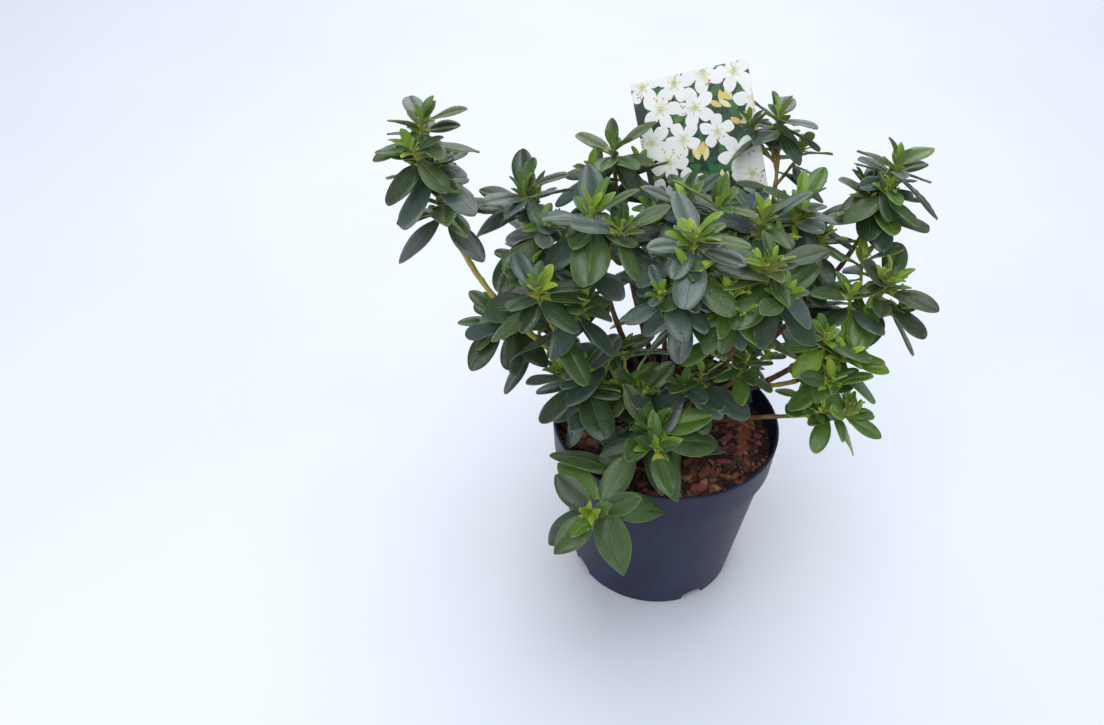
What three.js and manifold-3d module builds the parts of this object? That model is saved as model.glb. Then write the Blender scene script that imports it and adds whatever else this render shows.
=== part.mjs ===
// A young evergreen azalea in a round nursery pot, with a picture tag standing in the potting mix.
// Millimetres, +Z up. The origin is the middle of the pot's flat underside, and the plant's front faces -Y.
import * as THREE from 'three';
import { mergeVertices } from 'three/addons/utils/BufferGeometryUtils.js';
import Module from 'manifold-3d';

const wasm = await Module();
wasm.setup();

// Driving dimensions
const gap = 0.3; // clear space between neighbouring solids
const grid = 1 / 512; // the finest step between two corners of a fused solid
const pot = {
  height: 124,
  rimRadius: 75,
  footRadius: 57,
  wall: 1.6,
  collarHeight: 22,
  collarStep: 3, // how far the collar's foot stands out from the wall
  collarDraft: 1.5, // how far the collar widens from its foot to the rim
  chamfer: 1.5, // round the foot
  padRadius: 18, // flat pad in the middle of the underside
  recess: 7, // height of the hollow ring between the pad and the foot
  recessRadius: 45,
  facets: 36,
};
const notch = {
  count: 4,
  turn: -63, // degrees from +X to the first drain notch in the foot ring
  width: 17,
  shoulder: 3, // height of its straight sides, under a low arch
  height: 7.6, // at the top of the arch, just under the pot's floor
  overrun: 2, // how far the cut runs past the foot ring, inside and out
};
// Potting mix: its height at the wall, its rise to the middle, and how far out that rise begins and ends.
const mix = { top: 110, mound: 3, shoulder: 48, crown: 22, facets: 24 };
const trunk = {
  flare: 11, // radii at the foot, at the waist and at the top
  waist: 7.5,
  top: 5.5,
  height: 34,
  waistAt: 0.3, // share of the height
  lean: [2, 1.5], // how far the top stands to the right and to the back
  fluting: 0.8, // how deep the foot draws in between its root buttresses, as a share of the radius there
  facets: 8,
};
const tag = {
  width: 75,
  height: 115,
  corner: 4,
  thick: 0.8,
  stake: 9,
  stakeThick: 1.6,
  top: [5.4, 110.9, 317.1], // middle of the card's upper edge
  down: [0.239, -0.369, -0.898], // the way from there to the stake's foot
  right: [0.958, -0.063, 0.281],
};
const limb = { root: 2.3, tip: 1.5, facets: 5, steps: 5 }; // radii of a bough, and its facets
const stem = { length: 58, root: 1.8, tip: 1.6, steps: 4 }; // the leafy end of a limb, part of its foliage
const shoot = { length: 28, root: 1.5, tip: 1.4, steps: 2 }; // a side shoot of that stem
const leaf = {
  length: 43,
  width: 0.45, // this and the next two are shares of the length
  thick: 0.026,
  clearOfRoot: 0.2, // past this the blade stands clear of its neighbours
  reach: 64, // how far from its head's stem a leaf may reach
};
const goldenTurn = 137.5; // degrees between one side shoot and the next round a stem
// A shoot ends in rings of leaves. The old ones are outermost and hang, and the young ones stand up: how
// many, how far open in degrees, their share of the full size, and how far below the tip they root.
const whorl = [
  { count: 5, open: 102, size: 1, back: 7 },
  { count: 3, open: 60, size: 0.84, back: 2.5 },
  { count: 2, open: 24, size: 0.52, back: 1.2 },
];
const rootSpacing = 1.8; // along the shoot, from one leaf of a ring to the next

// The plant's leafy heads. Each is where its leading shoot ends, as degrees round from +X, distance out from
// the pot's axis and height over the ground. The limb that carries it starts at foot, as degrees round the
// trunk and height over the potting mix, or forks from another limb, some share of the way along. bend places
// the limb's middle control point, as shares of the way out and of the rise, and degrees round. A head has two
// side shoots unless it says otherwise, and a long one has further tiers of leaves down its stem. size is that
// of its leaves.
const heads = [
  { name: 'crown_centre', head: [100, 12, 281], foot: [0, trunk.height], bend: [0.4, 0.5], shoots: 3 },
  { name: 'crown_front', head: [-92, 36, 284], foot: [-80, 28], bend: [0.7, 0.4], size: 1.05 },
  { name: 'left_top', head: [-170, 57, 283], foot: [-160, 29], bend: [0.75, 0.4], size: 1.05 },
  { name: 'tall_left', head: [180, 149, 331], foot: [178, 20], bend: [0.93, 0.3], size: 0.92, tiers: 3 },
  { name: 'left_outer', head: [168, 97, 281], from: ['tall_left', 0.3], bend: [0.7, 0.5] },
  { name: 'left_front', head: [-155, 95, 251], from: ['tall_left', 0.16], bend: [0.6, 0.4] },
  { name: 'back_left_top', head: [117, 90, 279], foot: [117, 27], bend: [0.7, 0.35], size: 1 },
  { name: 'back_top', head: [78, 60, 256], from: ['crown_centre', 0.4], bend: [0.6, 0.3], size: 1 },
  { name: 'right_front', head: [-45, 58, 272], foot: [-38, 24], bend: [0.75, 0.35] },
  { name: 'right_top', head: [13, 46, 270], foot: [0, 29], bend: [0.7, 0.4], size: 1 },
  { name: 'tall_right', head: [21, 139, 287], foot: [22, 20], bend: [0.85, 0.3], size: 0.92, tiers: 2 },
  { name: 'right_upper', head: [29, 84, 264], from: ['tall_right', 0.28], bend: [0.6, 0.5], shoots: 3 },
  { name: 'back_right_top', head: [57, 119, 295], foot: [44, 25], bend: [0.69, 0.35, -26], size: 0.92 },
  { name: 'inner_left_top', head: [-101, 46, 258], from: ['crown_front', 0.42], size: 0.75 },
  { name: 'inner_right_top', head: [-69, 55, 257], from: ['right_front', 0.42], size: 0.75 },
  { name: 'far_right', head: [4, 128, 228], foot: [-4, 14], bend: [0.75, 0.3], shoots: 3, size: 1 },
  { name: 'low_right', head: [-11, 105, 196], from: ['far_right', 0.3], bend: [0.6, 0.3], shoots: 3, size: 0.88 },
  { name: 'lowest_right', head: [-16, 115, 157], foot: [-24, 8], bend: [0.5, 0.6], size: 0.78 },
  { name: 'inner_right', head: [-37, 50, 199], from: ['right_front', 0.2], bend: [0.8, 0.3] },
  { name: 'inner_centre', head: [-66, 34, 187], foot: [-62, 20], bend: [0.8, 0.3], size: 1 },
  { name: 'front', head: [-107, 54, 159], foot: [-104, 13], bend: [0.6, 0.7], size: 1.1 },
  { name: 'front_hanging', head: [-118, 107, 126], foot: [-126, 8], bend: [0.4, 4], shoots: 0, size: 1.1 },
  { name: 'low_left', head: [-155, 66, 186], foot: [-154, 14], bend: [0.8, 0.3], shoots: 3, size: 1.02 },
  { name: 'inner_left', head: [-140, 42, 171], from: ['low_left', 0.2], bend: [0.6, 0.6] },
  { name: 'far_left', head: [172, 112, 196], foot: [170, 10], bend: [0.75, 0.35], shoots: 3 },
  { name: 'back_left', head: [142, 112, 220], foot: [140, 15], bend: [0.75, 0.3], shoots: 3 },
  { name: 'back_centre', head: [88, 104, 206], foot: [92, 12], bend: [0.75, 0.3], shoots: 3, size: 1 },
  { name: 'back_right', head: [38, 118, 198], foot: [54, 9], bend: [0.8, 0.12, 8], shoots: 3 },
];

const colours = {
  pot: new THREE.Color('#2b2f3a'),
  mix: new THREE.Color('#3a221b'),
  bark: new THREE.Color('#5b3a2a'),
  leaf: new THREE.Color('#3f5a3c'),
  tag: new THREE.Color('#dfe2e4'),
};

const v3 = (x, y, z) => new THREE.Vector3(x, y, z);
const up = v3(0, 0, 1);
const lerp = THREE.MathUtils.lerp;
const radians = THREE.MathUtils.degToRad;
const around = (turn, out, z) => v3(out * Math.cos(radians(turn)), out * Math.sin(radians(turn)), z);

// A closed three.js geometry as a solid.
function toSolid(geometry) {
  const bare = geometry.clone();
  bare.deleteAttribute('normal');
  bare.deleteAttribute('uv');
  const merged = mergeVertices(bare, 1e-4);
  return new wasm.Manifold(
    new wasm.Mesh({
      numProp: 3,
      vertProperties: new Float32Array(merged.attributes.position.array),
      triVerts: new Uint32Array(merged.index.array),
    }),
  );
}

// A solid as a named mesh with its own material.
function toMesh(name, solid, colour, roughness) {
  const { numProp, vertProperties, triVerts } = solid.getMesh();
  const places = [];
  for (let i = 0; i < vertProperties.length; i += numProp) places.push(...vertProperties.subarray(i, i + 3));
  const geometry = new THREE.BufferGeometry();
  geometry.setAttribute('position', new THREE.Float32BufferAttribute(places, 3));
  geometry.setIndex(Array.from(triVerts));
  geometry.computeVertexNormals();
  const material = new THREE.MeshStandardMaterial({ color: colour, roughness, metalness: 0 });
  const mesh = new THREE.Mesh(geometry, material);
  mesh.name = name;
  return mesh;
}

// A skin over rings of points, each ring turning to the left round the way ahead. The first or the last ring
// may be a single point.
function loft(rings) {
  const sides = rings[1].length;
  const faces = [];
  let here = 0;
  for (let i = 0; i < rings.length - 1; i++) {
    const next = here + rings[i].length;
    for (let k = 0; k < sides; k++) {
      const j = (k + 1) % sides;
      if (rings[i].length === 1) faces.push(here, next + j, next + k);
      else if (rings[i + 1].length === 1) faces.push(here + k, here + j, next);
      else faces.push(here + k, here + j, next + j, here + k, next + j, next + k);
    }
    here = next;
  }
  for (let k = 1; k < sides - 1; k++) {
    if (rings[0].length > 1) faces.push(0, k + 1, k);
    if (rings.at(-1).length > 1) faces.push(here, here + k, here + k + 1);
  }
  const geometry = new THREE.BufferGeometry().setFromPoints(rings.flat());
  geometry.setIndex(faces);
  return toSolid(geometry);
}

// A direction square to a line, some degrees round it.
function aside(line, turn) {
  const across = v3().crossVectors(line, Math.abs(line.x) < 0.8 ? v3(1, 0, 0) : v3(0, 1, 0)).normalize();
  return across.applyAxisAngle(line, radians(turn));
}

// A tapering tube along a bent line of three control points.
function tube(curve, rootRadius, tipRadius, sides, steps) {
  const across = v3().crossVectors(curve.v1.clone().sub(curve.v0), curve.v2.clone().sub(curve.v0));
  if (across.length() < 1e-3) across.set(1, 0, 0);
  across.normalize();
  const rings = [];
  for (let i = 0; i <= steps; i++) {
    const t = i / steps;
    const other = v3().crossVectors(curve.getTangent(t), across).normalize();
    const radius = lerp(rootRadius, tipRadius, t);
    const centre = curve.getPoint(t);
    const ring = [];
    for (let k = 0; k < sides; k++) {
      const turn = (2 * Math.PI * k) / sides;
      ring.push(
        centre
          .clone()
          .addScaledVector(across, radius * Math.cos(turn))
          .addScaledVector(other, radius * Math.sin(turn)),
      );
    }
    rings.push(ring);
  }
  return loft(rings);
}

// The stretch of a bent line between two shares of its length.
function stretch(curve, from, to) {
  const middle = curve.v0.clone().lerp(curve.v1, to).lerp(curve.v1.clone().lerp(curve.v2, to), from);
  return new THREE.QuadraticBezierCurve3(curve.getPoint(from), middle, curve.getPoint(to));
}

// Numbers from 0 to 1 that are the same on every run.
function seeded(seed) {
  let state = Math.imul(seed + 11, 2654435761) >>> 0;
  return () => {
    state = (Math.imul(state, 1664525) + 1013904223) >>> 0;
    return state / 4294967296;
  };
}

// The pot and what stands in it
function innerRadius(z) {
  const collarFoot = pot.height - pot.collarHeight;
  const top = pot.rimRadius - pot.collarDraft - pot.collarStep;
  return lerp(pot.footRadius, top, Math.min(z / collarFoot, 1)) - pot.wall;
}

function makePot() {
  const collarFoot = pot.height - pot.collarHeight;
  const collarRadius = pot.rimRadius - pot.collarDraft;
  const floor = pot.recess + pot.wall;
  const profile = [
    [0, 0],
    [pot.padRadius, 0],
    [pot.padRadius + 1, pot.recess],
    [pot.recessRadius, pot.recess],
    [pot.recessRadius + 1, 0],
    [pot.footRadius - pot.chamfer, 0],
    [pot.footRadius, pot.chamfer],
    [collarRadius - pot.collarStep, collarFoot - 1],
    [collarRadius, collarFoot],
    [pot.rimRadius, pot.height - 1],
    [pot.rimRadius - 0.4, pot.height],
    [pot.rimRadius - pot.wall, pot.height],
    [collarRadius - pot.wall, collarFoot + 2],
    [innerRadius(collarFoot), collarFoot],
    [innerRadius(floor), floor],
    [0, floor],
  ].map(([r, z]) => new THREE.Vector2(r, z));
  let body = toSolid(new THREE.LatheGeometry(profile, pot.facets).rotateX(Math.PI / 2));
  const from = pot.recessRadius - notch.overrun;
  const arch = new THREE.Shape().moveTo(notch.width / 2, -notch.overrun);
  arch.absellipse(0, notch.shoulder, notch.width / 2, notch.height - notch.shoulder, 0, Math.PI);
  arch.lineTo(-notch.width / 2, -notch.overrun);
  const cutter = new THREE.ExtrudeGeometry(arch, {
    depth: pot.footRadius + notch.overrun - from,
    bevelEnabled: false,
    curveSegments: 6,
  });
  cutter.rotateX(Math.PI / 2).rotateZ(Math.PI / 2).translate(from, 0, 0);
  for (let i = 0; i < notch.count; i++) {
    const turn = radians(notch.turn + (360 * i) / notch.count);
    body = body.subtract(toSolid(cutter.clone().rotateZ(turn)));
  }
  return body;
}

function makeMix() {
  const floor = pot.recess + pot.wall + gap;
  const collarFoot = pot.height - pot.collarHeight;
  const clear = gap + 0.35; // the faceted wall comes in this far between its corners
  const top = pot.rimRadius - pot.collarDraft - pot.wall - clear;
  const profile = [
    [0, floor],
    [innerRadius(floor) - clear, floor],
    [innerRadius(collarFoot - 1) - clear, collarFoot - 1],
    [top - 1, collarFoot + 3],
    [top - 0.5, mix.top],
    [mix.shoulder, mix.top + 0.6 * mix.mound],
    [mix.crown, mix.top + mix.mound],
    [0, mix.top + mix.mound],
  ].map(([r, z]) => new THREE.Vector2(r, z));
  return toSolid(new THREE.LatheGeometry(profile, mix.facets).rotateX(Math.PI / 2));
}

const mixCrown = mix.top + mix.mound + gap;

function trunkRadius(z) {
  const rise = (z - mixCrown) / trunk.height;
  if (rise < trunk.waistAt) return lerp(trunk.flare, trunk.waist, rise / trunk.waistAt);
  return lerp(trunk.waist, trunk.top, (rise - trunk.waistAt) / (1 - trunk.waistAt));
}

function trunkCentre(z) {
  const rise = (z - mixCrown) / trunk.height;
  return v3(trunk.lean[0] * rise, trunk.lean[1] * rise, z);
}

function makeTrunk() {
  const rings = [0, 0.1, trunk.waistAt, 0.65, 1].map((rise) => {
    const z = mixCrown + rise * trunk.height;
    const centre = trunkCentre(z);
    return Array.from({ length: trunk.facets }, (_, k) => {
      const turn = (2 * Math.PI * k) / trunk.facets;
      const radius = trunkRadius(z) * (rise < trunk.waistAt && k % 2 ? trunk.fluting : 1);
      return centre.clone().add(v3(radius * Math.cos(turn), radius * Math.sin(turn), 0));
    });
  });
  return loft(rings);
}

function makeTag() {
  const down = v3(...tag.down).normalize();
  const rise = down.clone().negate();
  const length = (mix.top + mix.mound + 1 - tag.top[2]) / down.z;
  const foot = v3(...tag.top).addScaledVector(down, length);
  const right = v3(...tag.right).addScaledVector(rise, -v3(...tag.right).dot(rise)).normalize();
  const face = v3().crossVectors(right, rise); // the printed side looks to the front
  const { width, height, corner, thick } = tag;
  const outline = new THREE.Shape();
  outline.absarc(width / 2 - corner, length - corner, corner, 0, Math.PI / 2);
  outline.absarc(corner - width / 2, length - corner, corner, Math.PI / 2, Math.PI);
  outline.absarc(corner - width / 2, length - height + corner, corner, Math.PI, 1.5 * Math.PI);
  outline.absarc(width / 2 - corner, length - height + corner, corner, 1.5 * Math.PI, 2 * Math.PI);
  const card = new THREE.ExtrudeGeometry(outline, { depth: thick, bevelEnabled: false, curveSegments: 4 });
  const stakeLength = length - height + 12;
  const stake = new THREE.BoxGeometry(tag.stake, stakeLength, tag.stakeThick);
  return toSolid(card)
    .add(toSolid(stake.translate(0, stakeLength / 2, 0)))
    .transform(new THREE.Matrix4().makeBasis(right, rise, face).setPosition(foot).toArray());
}

// The limb that carries a head: a bent line from the trunk, or from another limb, to the head.
const limbs = new Map();

function makeLimb({ name, head, foot, from, bend = [0.5, 0.5] }) {
  const end = around(...head);
  const [out, rise, turn = 0] = bend;
  const bendOf = ({ x, y, z }) =>
    v3(lerp(x, end.x, out), lerp(y, end.y, out), lerp(z, end.z, rise)).applyAxisAngle(up, radians(turn));
  let start;
  let thick = limb.root;
  if (from) {
    // forks from its parent's side, just clear of it
    const parent = limbs.get(from[0]);
    const side = lerp(parent.thick, limb.tip, from[1] / parent.split);
    thick = 0.8 * side;
    start = parent.curve.getPoint(from[1]);
    const ahead = bendOf(start).sub(start).normalize();
    const lean = ahead.angleTo(parent.curve.getTangent(from[1]));
    start.addScaledVector(ahead, (side + 2 * gap + thick * Math.cos(lean)) / Math.sin(lean));
  } else if (foot[1] < trunk.height) {
    // leaves the trunk's side, just clear of it
    start = trunkCentre(mixCrown + foot[1]);
    const ahead = bendOf(start).sub(start).normalize();
    start.add(around(foot[0], trunkRadius(start.z) + 2 * gap + thick * Math.abs(ahead.z), 0));
  } else {
    start = trunkCentre(mixCrown + trunk.height + 2 * gap);
  }
  const curve = new THREE.QuadraticBezierCurve3(start, bendOf(start), end);
  const length = curve.getLength();
  const split = Math.max(1 - stem.length / length, 0.35); // the bough ends where the foliage begins
  limbs.set(name, { curve, split, length, thick });
  return tube(stretch(curve, 0, split), thick, limb.tip, limb.facets, limb.steps);
}

// The rings of leaves round a shoot, some share of the way along it.
function planWhorl(plan, line, at, most, size, draw) {
  const number = plan.whorls++;
  const along = line.getTangent(at);
  const length = line.getLength();
  const axis = along.clone().multiplyScalar(0.6).addScaledVector(up, 0.7).normalize();
  let phase = draw() * 360;
  for (const ring of whorl) {
    const count = Math.min(ring.count, ring === whorl[0] ? most : most - 2);
    const stride = count === 5 ? 2 : 1; // neighbours round the shoot root well apart along it
    for (let k = 0; k < count; k++) {
      const turn = phase + ((k * stride + 0.3 * (draw() - 0.5)) * 360) / count;
      const open = radians(ring.open + 26 * (draw() - 0.5));
      const outward = aside(axis, turn);
      const ahead = outward.clone().multiplyScalar(Math.sin(open)).addScaledVector(axis, Math.cos(open));
      const face = axis.clone().multiplyScalar(Math.sin(open)).addScaledVector(outward, -Math.cos(open));
      plan.leaves.push({
        whorl: number,
        root: line.getPoint(at - (ring.back + k * rootSpacing) / length),
        ahead,
        face: face.applyAxisAngle(ahead, 0.5 * (draw() - 0.5)),
        length: leaf.length * size * ring.size * (0.86 + 0.28 * draw()),
        droop: 0.06 + 0.2 * draw(),
      });
    }
    phase += 180 / count + 20;
  }
}

// The twigs and leaves of one head, as lines and sizes.
function planHead({ name, shoots = 2, size = 0.95, tiers = 1 }, index) {
  const draw = seeded(index);
  const { curve, split, length } = limbs.get(name);
  const line = stretch(curve, split + (2 * gap) / length, 1);
  const plan = { line, twigs: [{ line, ...stem }], leaves: [], whorls: 0 };
  for (let tier = 0; tier < tiers; tier++) {
    planWhorl(plan, line, 1 - 0.4 * tier, tier ? 4 : 5, size * (1 + 0.08 * tier), draw);
  }
  const phase = draw() * 360;
  for (let s = 0; s < shoots; s++) {
    const at = 0.2 + (0.45 * (s + 0.5 * draw())) / shoots;
    const start = line.getPoint(at);
    const along = line.getTangent(at);
    const ahead = aside(along, phase + s * goldenTurn)
      .multiplyScalar(0.8)
      .addScaledVector(along, 0.5)
      .addScaledVector(up, 0.3)
      .normalize();
    const reach = shoot.length * (0.8 + 0.45 * draw());
    const middle = start.clone().addScaledVector(ahead, 0.5 * reach);
    const end = middle.clone().addScaledVector(ahead, 0.35 * reach).addScaledVector(up, 0.2 * reach);
    const twig = new THREE.QuadraticBezierCurve3(start, middle, end);
    plan.twigs.push({ line: twig, ...shoot });
    planWhorl(plan, twig, 1, 4, size * (0.8 + 0.15 * draw()), draw);
  }
  return plan;
}

// One leaf: it widens from a narrow root to its blade, broadest beyond its middle, and ends in a point. It
// bends down towards its tip. grow makes it bigger all round, to test its clearance, and from leaves out its
// root.
function makeLeaf({ root, ahead, face, length, droop }, grow = 0, from = 0) {
  const side = v3().crossVectors(face, ahead).normalize();
  const half = (leaf.width * length) / 2;
  const keel = leaf.thick * length;
  const place = (t) =>
    root.clone().addScaledVector(ahead, t * length).addScaledVector(face, -droop * length * t * t);
  const ring = (t, wide) => {
    const centre = place(t).addScaledVector(face, grow);
    return [
      centre.clone().addScaledVector(side, wide + grow),
      centre.clone().addScaledVector(side, -wide - grow),
      centre.clone().addScaledVector(face, -keel - 2 * grow),
    ];
  };
  const tip = 1 + grow / length;
  return loft([[place(from)], ring(0.33, 0.84 * half), ring(0.68, 0.96 * half), [place(tip)]]);
}

// What already stands. A leaf or twig that would touch it is left out.
const standing = [];

function boxed(solid) {
  return { solid, box: solid.boundingBox() };
}

function meet(a, b) {
  const near = [0, 1, 2].every((i) => a.box.min[i] < b.box.max[i] && a.box.max[i] > b.box.min[i]);
  return near && !a.solid.intersect(b.solid).isEmpty();
}

function twigFits(owner, { line, root, tip, steps }) {
  const fat = boxed(tube(line, root + gap, tip + gap, 3, steps));
  return !standing.some((other) => other.owner !== owner && meet(fat, other));
}

// A leaf keeps within reach of its head's stem, and clear of all but the twig that it roots in.
function leafFits(owner, spec, stemLine) {
  const tip = spec.root.clone().addScaledVector(spec.ahead, spec.length);
  if (!stemLine.getPoints(4).some((point) => point.distanceTo(tip) < leaf.reach)) return false;
  const fat = boxed(makeLeaf(spec, gap));
  const whole = boxed(makeLeaf(spec));
  const blade = boxed(makeLeaf(spec, 0, leaf.clearOfRoot));
  return !standing.some((other) => {
    if (other.owner !== owner) return meet(fat, other);
    if (other.whorl === undefined) return meet(blade, other);
    return other.whorl === spec.whorl ? meet(blade, other.blade) : meet(whole, other);
  });
}

// Whether each edge has just one face on either side.
function closes(corners) {
  const edges = new Set();
  for (let i = 0; i < corners.length; i += 3) {
    const face = corners.subarray(i, i + 3);
    if (new Set(face).size < 3) continue;
    for (let k = 0; k < 3; k++) {
      const edge = face[k] + ' ' + face[(k + 1) % 3];
      if (edges.has(edge)) return false;
      edges.add(edge);
    }
  }
  return true;
}

// Fuses solids into one, with its corners rounded to a fine grid. A hollow that the fusing seals and a loose
// scrap are both dropped. There is no result where two edges fall together on the grid.
function fuse(solids) {
  const { vertProperties, triVerts } = wasm.Manifold.union(solids).getMesh();
  const geometry = new THREE.BufferGeometry();
  const places = vertProperties.map((x) => Math.round(x / grid) * grid);
  geometry.setAttribute('position', new THREE.BufferAttribute(places, 3));
  geometry.setIndex(new THREE.BufferAttribute(triVerts, 1));
  if (!closes(mergeVertices(geometry, 1e-4).index.array)) return null;
  const bodies = toSolid(geometry).decompose();
  return bodies.reduce((best, body) => (body.volume() > best.volume() ? body : best));
}

const plant = new THREE.Group();

function add(name, solid, colour, roughness) {
  standing.push({ owner: name, ...boxed(solid) });
  plant.add(toMesh(name, solid, colour, roughness));
}

add('pot', makePot(), colours.pot, 0.55);
add('potting_mix', makeMix(), colours.mix, 0.95);
add('trunk', makeTrunk(), colours.bark, 0.85);
add('plant_tag', makeTag(), colours.tag, 0.35);
for (const head of heads) add('bough_' + head.name, makeLimb(head), colours.bark, 0.8);

// All twigs come first, so that no leaf stands in the way of another head's twig.
const foliage = heads.map((head, index) => {
  const owner = 'foliage_' + head.name;
  const plan = planHead(head, index);
  const twigs = [];
  for (const twig of plan.twigs) {
    if (!twigFits(owner, twig)) continue;
    twigs.push(tube(twig.line, twig.root, twig.tip, 3, twig.steps));
    standing.push({ owner, ...boxed(twigs.at(-1)) });
  }
  return { owner, plan, solids: twigs };
});

// Then the leaves, one from each head in turn, so that crowded heads share the room.
const mostLeaves = Math.max(...foliage.map(({ plan }) => plan.leaves.length));
for (let i = 0; i < mostLeaves; i++) {
  for (const head of foliage) {
    const spec = head.plan.leaves[i];
    if (!spec || !leafFits(head.owner, spec, head.plan.line)) continue;
    const solid = makeLeaf(spec);
    const fused = fuse([...head.solids, solid]);
    if (!fused) continue;
    head.solids.push(solid);
    head.fused = fused;
    const blade = boxed(makeLeaf(spec, 0, leaf.clearOfRoot));
    standing.push({ owner: head.owner, whorl: spec.whorl, blade, ...boxed(solid) });
  }
}
for (const { owner, fused } of foliage) plant.add(toMesh(owner, fused, colours.leaf, 0.5));

export default plant;
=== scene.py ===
import math
import random

import bpy
import numpy as np
from mathutils import Matrix, Vector, noise
from mathutils.bvhtree import BVHTree


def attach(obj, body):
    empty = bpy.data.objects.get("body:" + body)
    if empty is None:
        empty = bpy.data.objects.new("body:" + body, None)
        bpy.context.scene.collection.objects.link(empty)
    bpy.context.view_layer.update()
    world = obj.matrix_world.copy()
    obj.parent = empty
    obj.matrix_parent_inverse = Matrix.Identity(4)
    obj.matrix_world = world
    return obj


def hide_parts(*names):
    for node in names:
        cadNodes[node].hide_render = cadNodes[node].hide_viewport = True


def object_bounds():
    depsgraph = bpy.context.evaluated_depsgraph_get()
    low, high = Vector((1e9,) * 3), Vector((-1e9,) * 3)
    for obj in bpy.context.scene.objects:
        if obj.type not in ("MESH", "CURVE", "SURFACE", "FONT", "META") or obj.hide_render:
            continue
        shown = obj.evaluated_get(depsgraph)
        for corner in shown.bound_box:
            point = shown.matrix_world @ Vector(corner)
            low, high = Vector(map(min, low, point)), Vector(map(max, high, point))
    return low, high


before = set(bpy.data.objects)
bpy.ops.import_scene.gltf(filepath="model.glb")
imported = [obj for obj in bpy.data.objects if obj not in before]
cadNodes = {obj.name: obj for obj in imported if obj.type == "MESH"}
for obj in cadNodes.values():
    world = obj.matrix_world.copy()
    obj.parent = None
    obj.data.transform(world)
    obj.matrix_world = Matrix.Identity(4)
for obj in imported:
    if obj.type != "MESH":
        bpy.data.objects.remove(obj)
cadLow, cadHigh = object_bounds()

# A young evergreen azalea in its nursery pot. Everything below is worked out in millimetres, +Z up and the
# front towards -Y, and turned to metres when a mesh is made.
mm = 0.001  # in metres
metre = 1000  # in millimetres
up = np.array([0.0, 0.0, 1.0])


def unit(v):
    return v / np.linalg.norm(v)


def blend(a, b, t):
    return a + (b - a) * t


def around(turn, out, z):
    return np.array([out * math.cos(math.radians(turn)), out * math.sin(math.radians(turn)), z])


def turned(v, axis, degrees):  # v, some degrees round an axis
    c, s = math.cos(math.radians(degrees)), math.sin(math.radians(degrees))
    return v * c + np.cross(axis, v) * s + axis * np.dot(axis, v) * (1 - c)


def aside(line, turn):  # a direction square to a line
    other = np.array([1.0, 0, 0]) if abs(line[0]) < 0.8 else np.array([0, 1.0, 0])
    return turned(unit(np.cross(line, other)), line, turn)


def seeded(seed):  # the same numbers from 0 to 1 on every run, and the same as in the CAD model
    state = [((seed + 11) * 2654435761) & 0xFFFFFFFF]

    def draw():
        state[0] = (state[0] * 1664525 + 1013904223) & 0xFFFFFFFF
        return state[0] / 4294967296
    return draw


def spread(pair, draw):  # the least value, and what a draw may add to it
    return pair[0] + pair[1] * draw()


def pointAt(curve, t):
    a, b, c = curve
    return (1 - t) ** 2 * a + 2 * (1 - t) * t * b + t * t * c


def tangentAt(curve, t):
    a, b, c = curve
    return unit((1 - t) * (b - a) + t * (c - b))


def lengthOf(curve):
    points = np.array([pointAt(curve, i / 200) for i in range(201)])
    return np.linalg.norm(np.diff(points, axis=0), axis=1).sum()


def stretch(curve, start, end):  # the part of a bent line between two shares of it
    a, b, c = curve
    middle = blend(blend(a, b, end), blend(b, c, end), start)
    return pointAt(curve, start), middle, pointAt(curve, end)


# Meshes are gathered as arrays in a pile, and each pile becomes one piece.

def newPile():
    return {"points": [], "quads": [], "tris": [], "quadMats": [], "triMats": [], "count": 0}


def addToPile(pile, points, quads, quadMats, tris=(), triMats=()):
    base = pile["count"]
    pile["points"].append(np.asarray(points, float))
    if len(quads):
        pile["quads"].append(np.asarray(quads, int) + base)
        pile["quadMats"].append(np.asarray(quadMats, int))
    if len(tris):
        pile["tris"].append(np.asarray(tris, int) + base)
        pile["triMats"].append(np.asarray(triMats, int))
    pile["count"] += len(points)


def pileTriangles(pile):
    return 2 * sum(len(q) for q in pile["quads"]) + sum(len(t) for t in pile["tris"])


def makePiece(name, pile, materials, replaced=(), sharp=50):
    # edges of more than sharp degrees stay crisp
    mesh = bpy.data.meshes.new(name)
    points = np.concatenate(pile["points"]) * mm
    quads = np.concatenate([np.zeros((0, 4), int), *pile["quads"]])
    tris = np.concatenate([np.zeros((0, 3), int), *pile["tris"]])
    corners = np.concatenate([quads.ravel(), tris.ravel()])
    sizes = np.array([4] * len(quads) + [3] * len(tris))
    mats = np.concatenate(pile["quadMats"] + pile["triMats"])
    mesh.vertices.add(len(points))
    mesh.vertices.foreach_set("co", points.astype(np.float32).ravel())
    mesh.loops.add(len(corners))
    mesh.loops.foreach_set("vertex_index", corners.astype(np.int32))
    mesh.polygons.add(len(sizes))
    mesh.polygons.foreach_set("loop_start", (np.cumsum(sizes) - sizes).astype(np.int32))
    for material in materials:
        mesh.materials.append(material)
    mesh.polygons.foreach_set("material_index", mats.astype(np.int32))
    mesh.update(calc_edges=True)
    mesh.validate()
    mesh.shade_smooth()
    mesh.set_sharp_from_angle(angle=math.radians(sharp))
    piece = bpy.data.objects.new(name, mesh)
    bpy.context.scene.collection.objects.link(piece)
    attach(piece, "root")
    if replaced:
        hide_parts(*replaced)
    print("piece", name, len(quads) * 2 + len(tris), "triangles")
    return piece


def ringFaces(rings, sides):  # quads over rings of points that turn to the left round the way ahead
    k = np.arange(sides)
    nxt = (k + 1) % sides
    rows = np.arange(rings - 1)[:, None] * sides
    return np.stack([rows + k, rows + nxt, rows + sides + nxt, rows + sides + k], axis=-1).reshape(-1, 4)


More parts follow.
